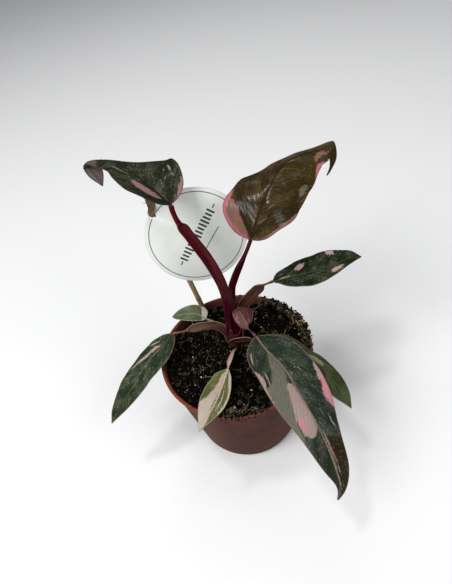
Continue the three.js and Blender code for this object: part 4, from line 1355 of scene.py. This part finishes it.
bamboo, tree, shader = newMaterial("bamboo", 0.15, specular=0.5)
spot = attribute(tree, "canePlace", "Vector")
grain = cloud(spot, (1.6, 1.6, 0.05), 4, 0.6)
blotch = cloud(spot, (0.3, 0.3, 0.08))
height = axes(spot)[2]
colour = mix(ramp(grain, 0.32, 0.68), *cane["wood"])
colour = mix(ramp(blotch, 0.5, 0.72, 0.0, 0.6), colour, cane["blotches"])
for node in cane["nodes"]:
    band = ramp(abs(height - node * caneLength), 1.6, 0.2, 0.0, 0.6)
    colour = mix(band, colour, cane["bands"])
feed(shader, {
    "Base Color": mix(dirt(spot, 0.7, 0.7) * 0.7, colour, cane["soil"]),
    "Roughness": grain * 0.25 + 0.3,
    "Normal": bump(grain, 0.15),
})
finishPiece(stick, "bamboo_stake", "stake_bamboo", [bamboo], "label_stake")


# Label: a round card with a hole near its edge; its own frame starts at its middle

card = {
    "along": 131.9,  # up the cane, then sideways
    "side": 20.8,
    "offCane": 3.05,  # from the cane's axis to the card's middle
    "radius": 40,
    "thickness": 0.8,
    "hole": (-23.8, 28.1),
    "holeRadius": 2.3,
    "ring": 36.6,  # printed line round the edge
    "strokes": [(-16.4, -14.6), (17.8, 15.6), 15, 2.6, 0.82],  # plain bars: from, to, number, half sizes
    "dashes": [((-20.4, -18.2), (-18.3, -16.3), 0.5), ((20.1, 17.6), (22.1, 19.4), 0.5)],
    "line": ((2.2, -13.4), (18.8, 1.2), 0.35),
    "paper": [(226, 229, 224), (212, 213, 202)],
    # painted shade: a greyer band just inside the card's rim
    "edge": (196, 196, 184),
    "soil": (120, 100, 76),
    "ink": (44, 44, 42),
}
cardUp = (caneHigh - caneLow).normalized()
cardFront = Vector((0, -1, 0.2))
cardFront = (cardFront - cardUp * cardFront.dot(cardUp)).normalized()
cardSide = cardUp.cross(cardFront)
cardMiddle = caneLow + cardUp * card["along"] + cardSide * card["side"] + cardFront * card["offCane"]
cardFrame = Matrix.Translation(cardMiddle * mm) @ Matrix((cardSide, cardUp, cardFront)).transposed().to_4x4()
deselectAll()
bpy.ops.mesh.primitive_cylinder_add(vertices=144, radius=card["radius"] * mm, depth=card["thickness"] * mm)
disc = bpy.context.object
cutHole(disc, *card["hole"], card["holeRadius"], 32)
softenEdges(disc, 0.18, 50)
storeVector(disc.data, "cardPlace", *(pointsOf(disc.data) / mm).T)
disc.data.transform(cardFrame)
smoothShade(disc, 40)

cardStock, tree, shader = newMaterial("cardStock", 0.1, specular=0.5)
spot = attribute(tree, "cardPlace", "Vector")


def printed(start, end, half):
    # a plain bar with round ends: 1 on it, 0 off it
    start, end = Vector((*start, 0)), Vector((*end, 0))
    way = (end - start).normalized()
    flat = vectorMath("MULTIPLY", vectorMath("SUBTRACT", spot, tuple(start)), (1, 1, 0))
    gone = vectorMath("DOT_PRODUCT", flat, tuple(way), "Value")
    held = addNode(tree, "Clamp", {"Value": gone, "Min": 0.0, "Max": (end - start).length})
    gap = vectorMath("DISTANCE", flat, vectorMath("SCALE", tuple(way), held), "Value")
    return ramp(gap, half + 0.12, half - 0.12)


reach = distanceOut(spot)
ink = ramp(abs(reach - card["ring"]), 0.42, 0.24)
first, last, count, tall, half = card["strokes"]
row = np.subtract(last, first) / (count - 1)
side = np.array([-row[1], row[0]]) / np.linalg.norm(row)
bars = []
for k in range(count):
    middle, high = first + row * k, side * (tall + 0.5 * math.sin(4.7 * k))
    bars.append((middle - high, middle + high, half))
for bar in (*bars, *card["dashes"], card["line"]):
    ink = greater(ink, printed(*bar))
facing = ramp(axes(spot)[2], card["thickness"] * 0.25, card["thickness"] * 0.4)
wear = cloud(spot, 0.9, 4, 0.6)
ink = ink * facing * ramp(wear, 0.25, 0.42, 0.82, 1.0)
stain = cloud(spot, 0.05)
colour = mix(ramp(stain, 0.45, 0.75, 0.0, 0.5), *card["paper"])
# a greyer band along the rim: painted shade at the card's edge
colour = mix(ramp(reach, card["radius"] - 1.2, card["radius"], 0.0, 0.4), colour, card["edge"])
colour = mix(dirt(spot, 0.45, 0.12) * 0.35, colour, card["soil"])
feed(shader, {
    "Base Color": mix(ink, colour, card["ink"]),
    "Roughness": wear * 0.15 + 0.34,
    "Normal": bump(ink * 0.25 + wear, 0.05),
})
finishPiece(disc, "label_card", "label_card", [cardStock], "label_disc")


# Tie: jute turns round the cane, a band of fibres down to the card's hole and a strand behind it

jute = {
    "firstTurn": 38.6,  # up from the card's middle
    "turns": 4,
    "pitch": 1.7,
    "cord": 0.62,
    "plyGirth": 0.72,  # a ply's radius as a share of the cord's
    "plyOut": 0.32,  # from the cord's middle to a ply's
    "twists": 5,  # in one turn
    "bandStrands": 16,
    "bandWidth": 5.6,
    "backStrand": 0.55,
    "looseHairs": 26,
    "looseHair": 0.1,
    "tones": [(76, 58, 38), (146, 124, 92)],
    "dark": (70, 52, 36),
}


def placed(side, up, out):
    return np.array(cardMiddle + cardSide * side + cardUp * up + cardFront * out)


def cordPath(spots, radius, resolution=2):
    curve = bpy.data.curves.new("cord", "CURVE")
    curve.dimensions, curve.resolution_u, curve.use_fill_caps = "3D", 2, True
    curve.bevel_depth, curve.bevel_resolution = radius * mm, resolution
    line = curve.splines.new("POLY")
    line.points.add(len(spots) - 1)
    for point, spot in zip(line.points, spots):
        point.co = (*(np.array(spot) * mm), 1)
    return addObject("cord", curve)


def joinSmooth(parts):
    pick(*parts)
    bpy.ops.object.join()
    smoothShade(parts[0], 60)
    return parts[0]


strands = []
caneAt, holeAt, holeUp, firstTurn = -card["side"], *card["hole"], jute["firstTurn"]
turnRadius = cane["radius"] + 0.3 + jute["cord"]
for ply in range(2):  # two plies wound on each other
    path = []
    for k in range(jute["turns"] * 24 + 1):
        angle = 2 * math.pi * k / 24
        plyIn, plyUp = polar(jute["plyOut"], angle * jute["twists"] + ply * math.pi)
        out, side = polar(turnRadius + plyIn, angle)
        up = firstTurn - 0.6 + jute["pitch"] * k / 24 + plyUp
        path.append(placed(caneAt + side, up, out - card["offCane"]))
    strands.append(cordPath(path, jute["cord"] * jute["plyGirth"]))
offCard = card["thickness"] / 2 + 0.35
half = jute["bandWidth"] / 2
for k in range(jute["bandStrands"]):
    share = (k + 0.5) / jute["bandStrands"] * 2 - 1
    wobble = chance.normal(0, 0.25, 4)
    path = framesAlong([
        placed(caneAt + share * half * 0.9, firstTurn + 0.8 + wobble[0], offCard + 0.2 + abs(wobble[1]) * 0.3),
        placed(caneAt - 0.8 + share * half + wobble[1], firstTurn - 3, offCard + 0.5 + 0.25 * (k % 3)),
        placed(
            holeAt + 0.2 + share * half * 0.8 + wobble[2], holeUp + 3.2, offCard + 0.4 + 0.25 * ((k + 1) % 3)
        ),
        placed(holeAt + share * 1.2, holeUp + 0.4, offCard),
        placed(holeAt + share * 1.1, holeUp - 0.9, -1.2),
        placed(holeAt + share * 1.6, holeUp + 0.6, -2.4),
    ], np.linspace(0, 1, 26), (0, -1, 0.2))[0]
    strands.append(cordPath(path, chance.uniform(0.2, 0.34), 1))
path = framesAlong([
    placed(holeAt, holeUp - 0.2, 0),
    placed(holeAt - 0.6, holeUp + 3, -offCard - 0.3),
    placed(caneAt - turnRadius, firstTurn + 1.4, 0.8 - card["offCane"]),
], np.linspace(0, 1, 16), (1, 0, 0))[0]
strands.append(cordPath(path, jute["backStrand"]))
for _ in range(jute["looseHairs"]):
    spot = placed(caneAt + chance.normal(0, 2), firstTurn + chance.uniform(-9, 6), chance.uniform(0.6, 1.4))
    heading = chance.normal(0, 1, 3) * (1, 0.5, 0.7)
    curl = chance.normal(0, 0.4, 3)
    path = [spot + (heading + curl * t) * t * 2.2 for t in np.linspace(0, 1, 7)]
    strands.append(cordPath(path, jute["looseHair"], 0))
pick(*strands)
bpy.ops.object.convert(target="MESH")
knot = joinSmooth(strands)
juteFibre, tree, shader = newMaterial("juteFibre", specular=0.25)
spot = objectPlace(tree)
fuzz = cloud(spot, (1.4, 1.4, 1.4), 5, 0.7)
wide = cloud(spot, 0.25, 2)
colour = mix(ramp(fuzz, 0.35, 0.66), *jute["tones"])
feed(shader, {
    "Base Color": mix(ramp(wide, 0.4, 0.65, 0.0, 0.45), colour, jute["dark"]),
    "Roughness": ramp(fuzz, 0.3, 0.7, 0.75, 0.95),
    "Normal": bump(fuzz, 0.3),
})
finishPiece(knot, "jute_tie", "tie_jute", [juteFibre], "label_tie")
print("stake, label and tie are done")


# Crown: the short ringed stem and the dry maroon sheaths round the petioles' feet

crown = {
    "stem": [(0, 6, 60), (0.25, 8.5, 78), (0.5, 11, 96)],
    "stemGirths": [(0, 4.2, 4.2), (0.6, 6, 6), (0.8, 5.6, 5.6), (1, 4.8, 4.8)],
    "stemRings": (0.05, 1.3),  # how far they stand out, and how close they are
    "stemTones": ((26, 15, 12), (42, 25, 19), (62, 44, 32), (62, 44, 32)),
    # each sheath: spine from its foot to its tip, which way its outer side looks, half width, half arc
    "sheaths": [
        ([(-0.4, 6, 86), (-1.2, 7, 93), (-1.4, 9, 100), (-1, 11.5, 106)], (-0.25, -1, 0.1), 6.4, 80),
        ([(8.2, 8, 88), (9.4, 8.4, 95), (10, 12, 103), (9.6, 16, 109)], (1, -0.3, 0.1), 5.4, 60),
        ([(0.2, 3.2, 104), (2.6, 1.6, 108.6), (5.2, 1.2, 110.8), (7.2, 2, 116)], (0.3, -1, -0.2), 1.5, 62),
    ],
    "sheathGrid": (24, 28),
    "sheathWall": 0.4,
    "sheathTones": ((34, 12, 14), (60, 28, 28), (84, 50, 46), (98, 68, 60)),
}
stem = makeTube(crown["stem"], crown["stemGirths"], (0, -1, 0), 60, 32)
spots = pointsOf(stem.data)
up = spots[:, 2] / mm
depth, closeness = crown["stemRings"]
bulge = 1 + depth * np.cos(up * closeness) ** 8
bulge += np.array([0.03 * noise.noise(Vector(spot / mm * 0.4)) for spot in spots])
low, _, high = crown["stem"]
heights = (low[2], high[2])
axis = [np.interp(up, heights, (low[k], high[k])) for k in (0, 1)]
middle = np.stack([*axis, up], -1) * mm
movePoints(stem.data, middle + (spots - middle) * np.stack([bulge, bulge, np.ones(len(up))], -1))
smoothShade(stem, 60)
finishPiece(stem, "short_stem", "stem_bark", [stalkMaterial("stemSkin", crown["stemTones"], 0.5, 0.05)], "stem")

papery = stalkMaterial("dryScale", crown["sheathTones"], 0.8, 0.1)
scales = []
for spine, outward, half, arc in crown["sheaths"]:
    scale, share, place, stops, row = flatSheet(*crown["sheathGrid"])
    spots, tangents, ups, length = framesAlong(spine, stops, outward)
    width = half * np.sqrt(np.clip(1 - (place * 0.985) ** 2.4, 0, 1)) * (0.8 + 0.2 * np.cos(place * 2))
    bend = math.radians(arc) * share * (1 - 0.35 * place)
    curve = width / math.radians(arc)
    ragged = 0.25 * np.abs(share) ** 3 * np.sin(place * 31 + half) * place
    across = np.cross(tangents, ups)[row] * (np.sin(bend) * curve)[:, None]
    inward = ups[row] * ((np.cos(bend) - 1) * curve + ragged)[:, None]
    movePoints(scale.data, (spots[row] + across + inward) * mm)
    storeVector(scale.data, "stalkPlace", share * width, inward[:, 0], place * length)
    storeNumber(scale.data, "rise", place)
    storeNumber(scale.data, "wing", np.maximum(softStep(np.abs(share), 0.86, 1.0), softStep(place, 0.9, 1.0)))
    wall = scale.modifiers.new("thickness", "SOLIDIFY")
    wall.thickness, wall.offset = crown["sheathWall"] * mm, 0
    applyModifiers(scale)
    scales.append(scale)
finishPiece(joinSmooth(scales), "crown_scales", "sheath_maroon", [papery], "crown_sheath")
print("crown is done")
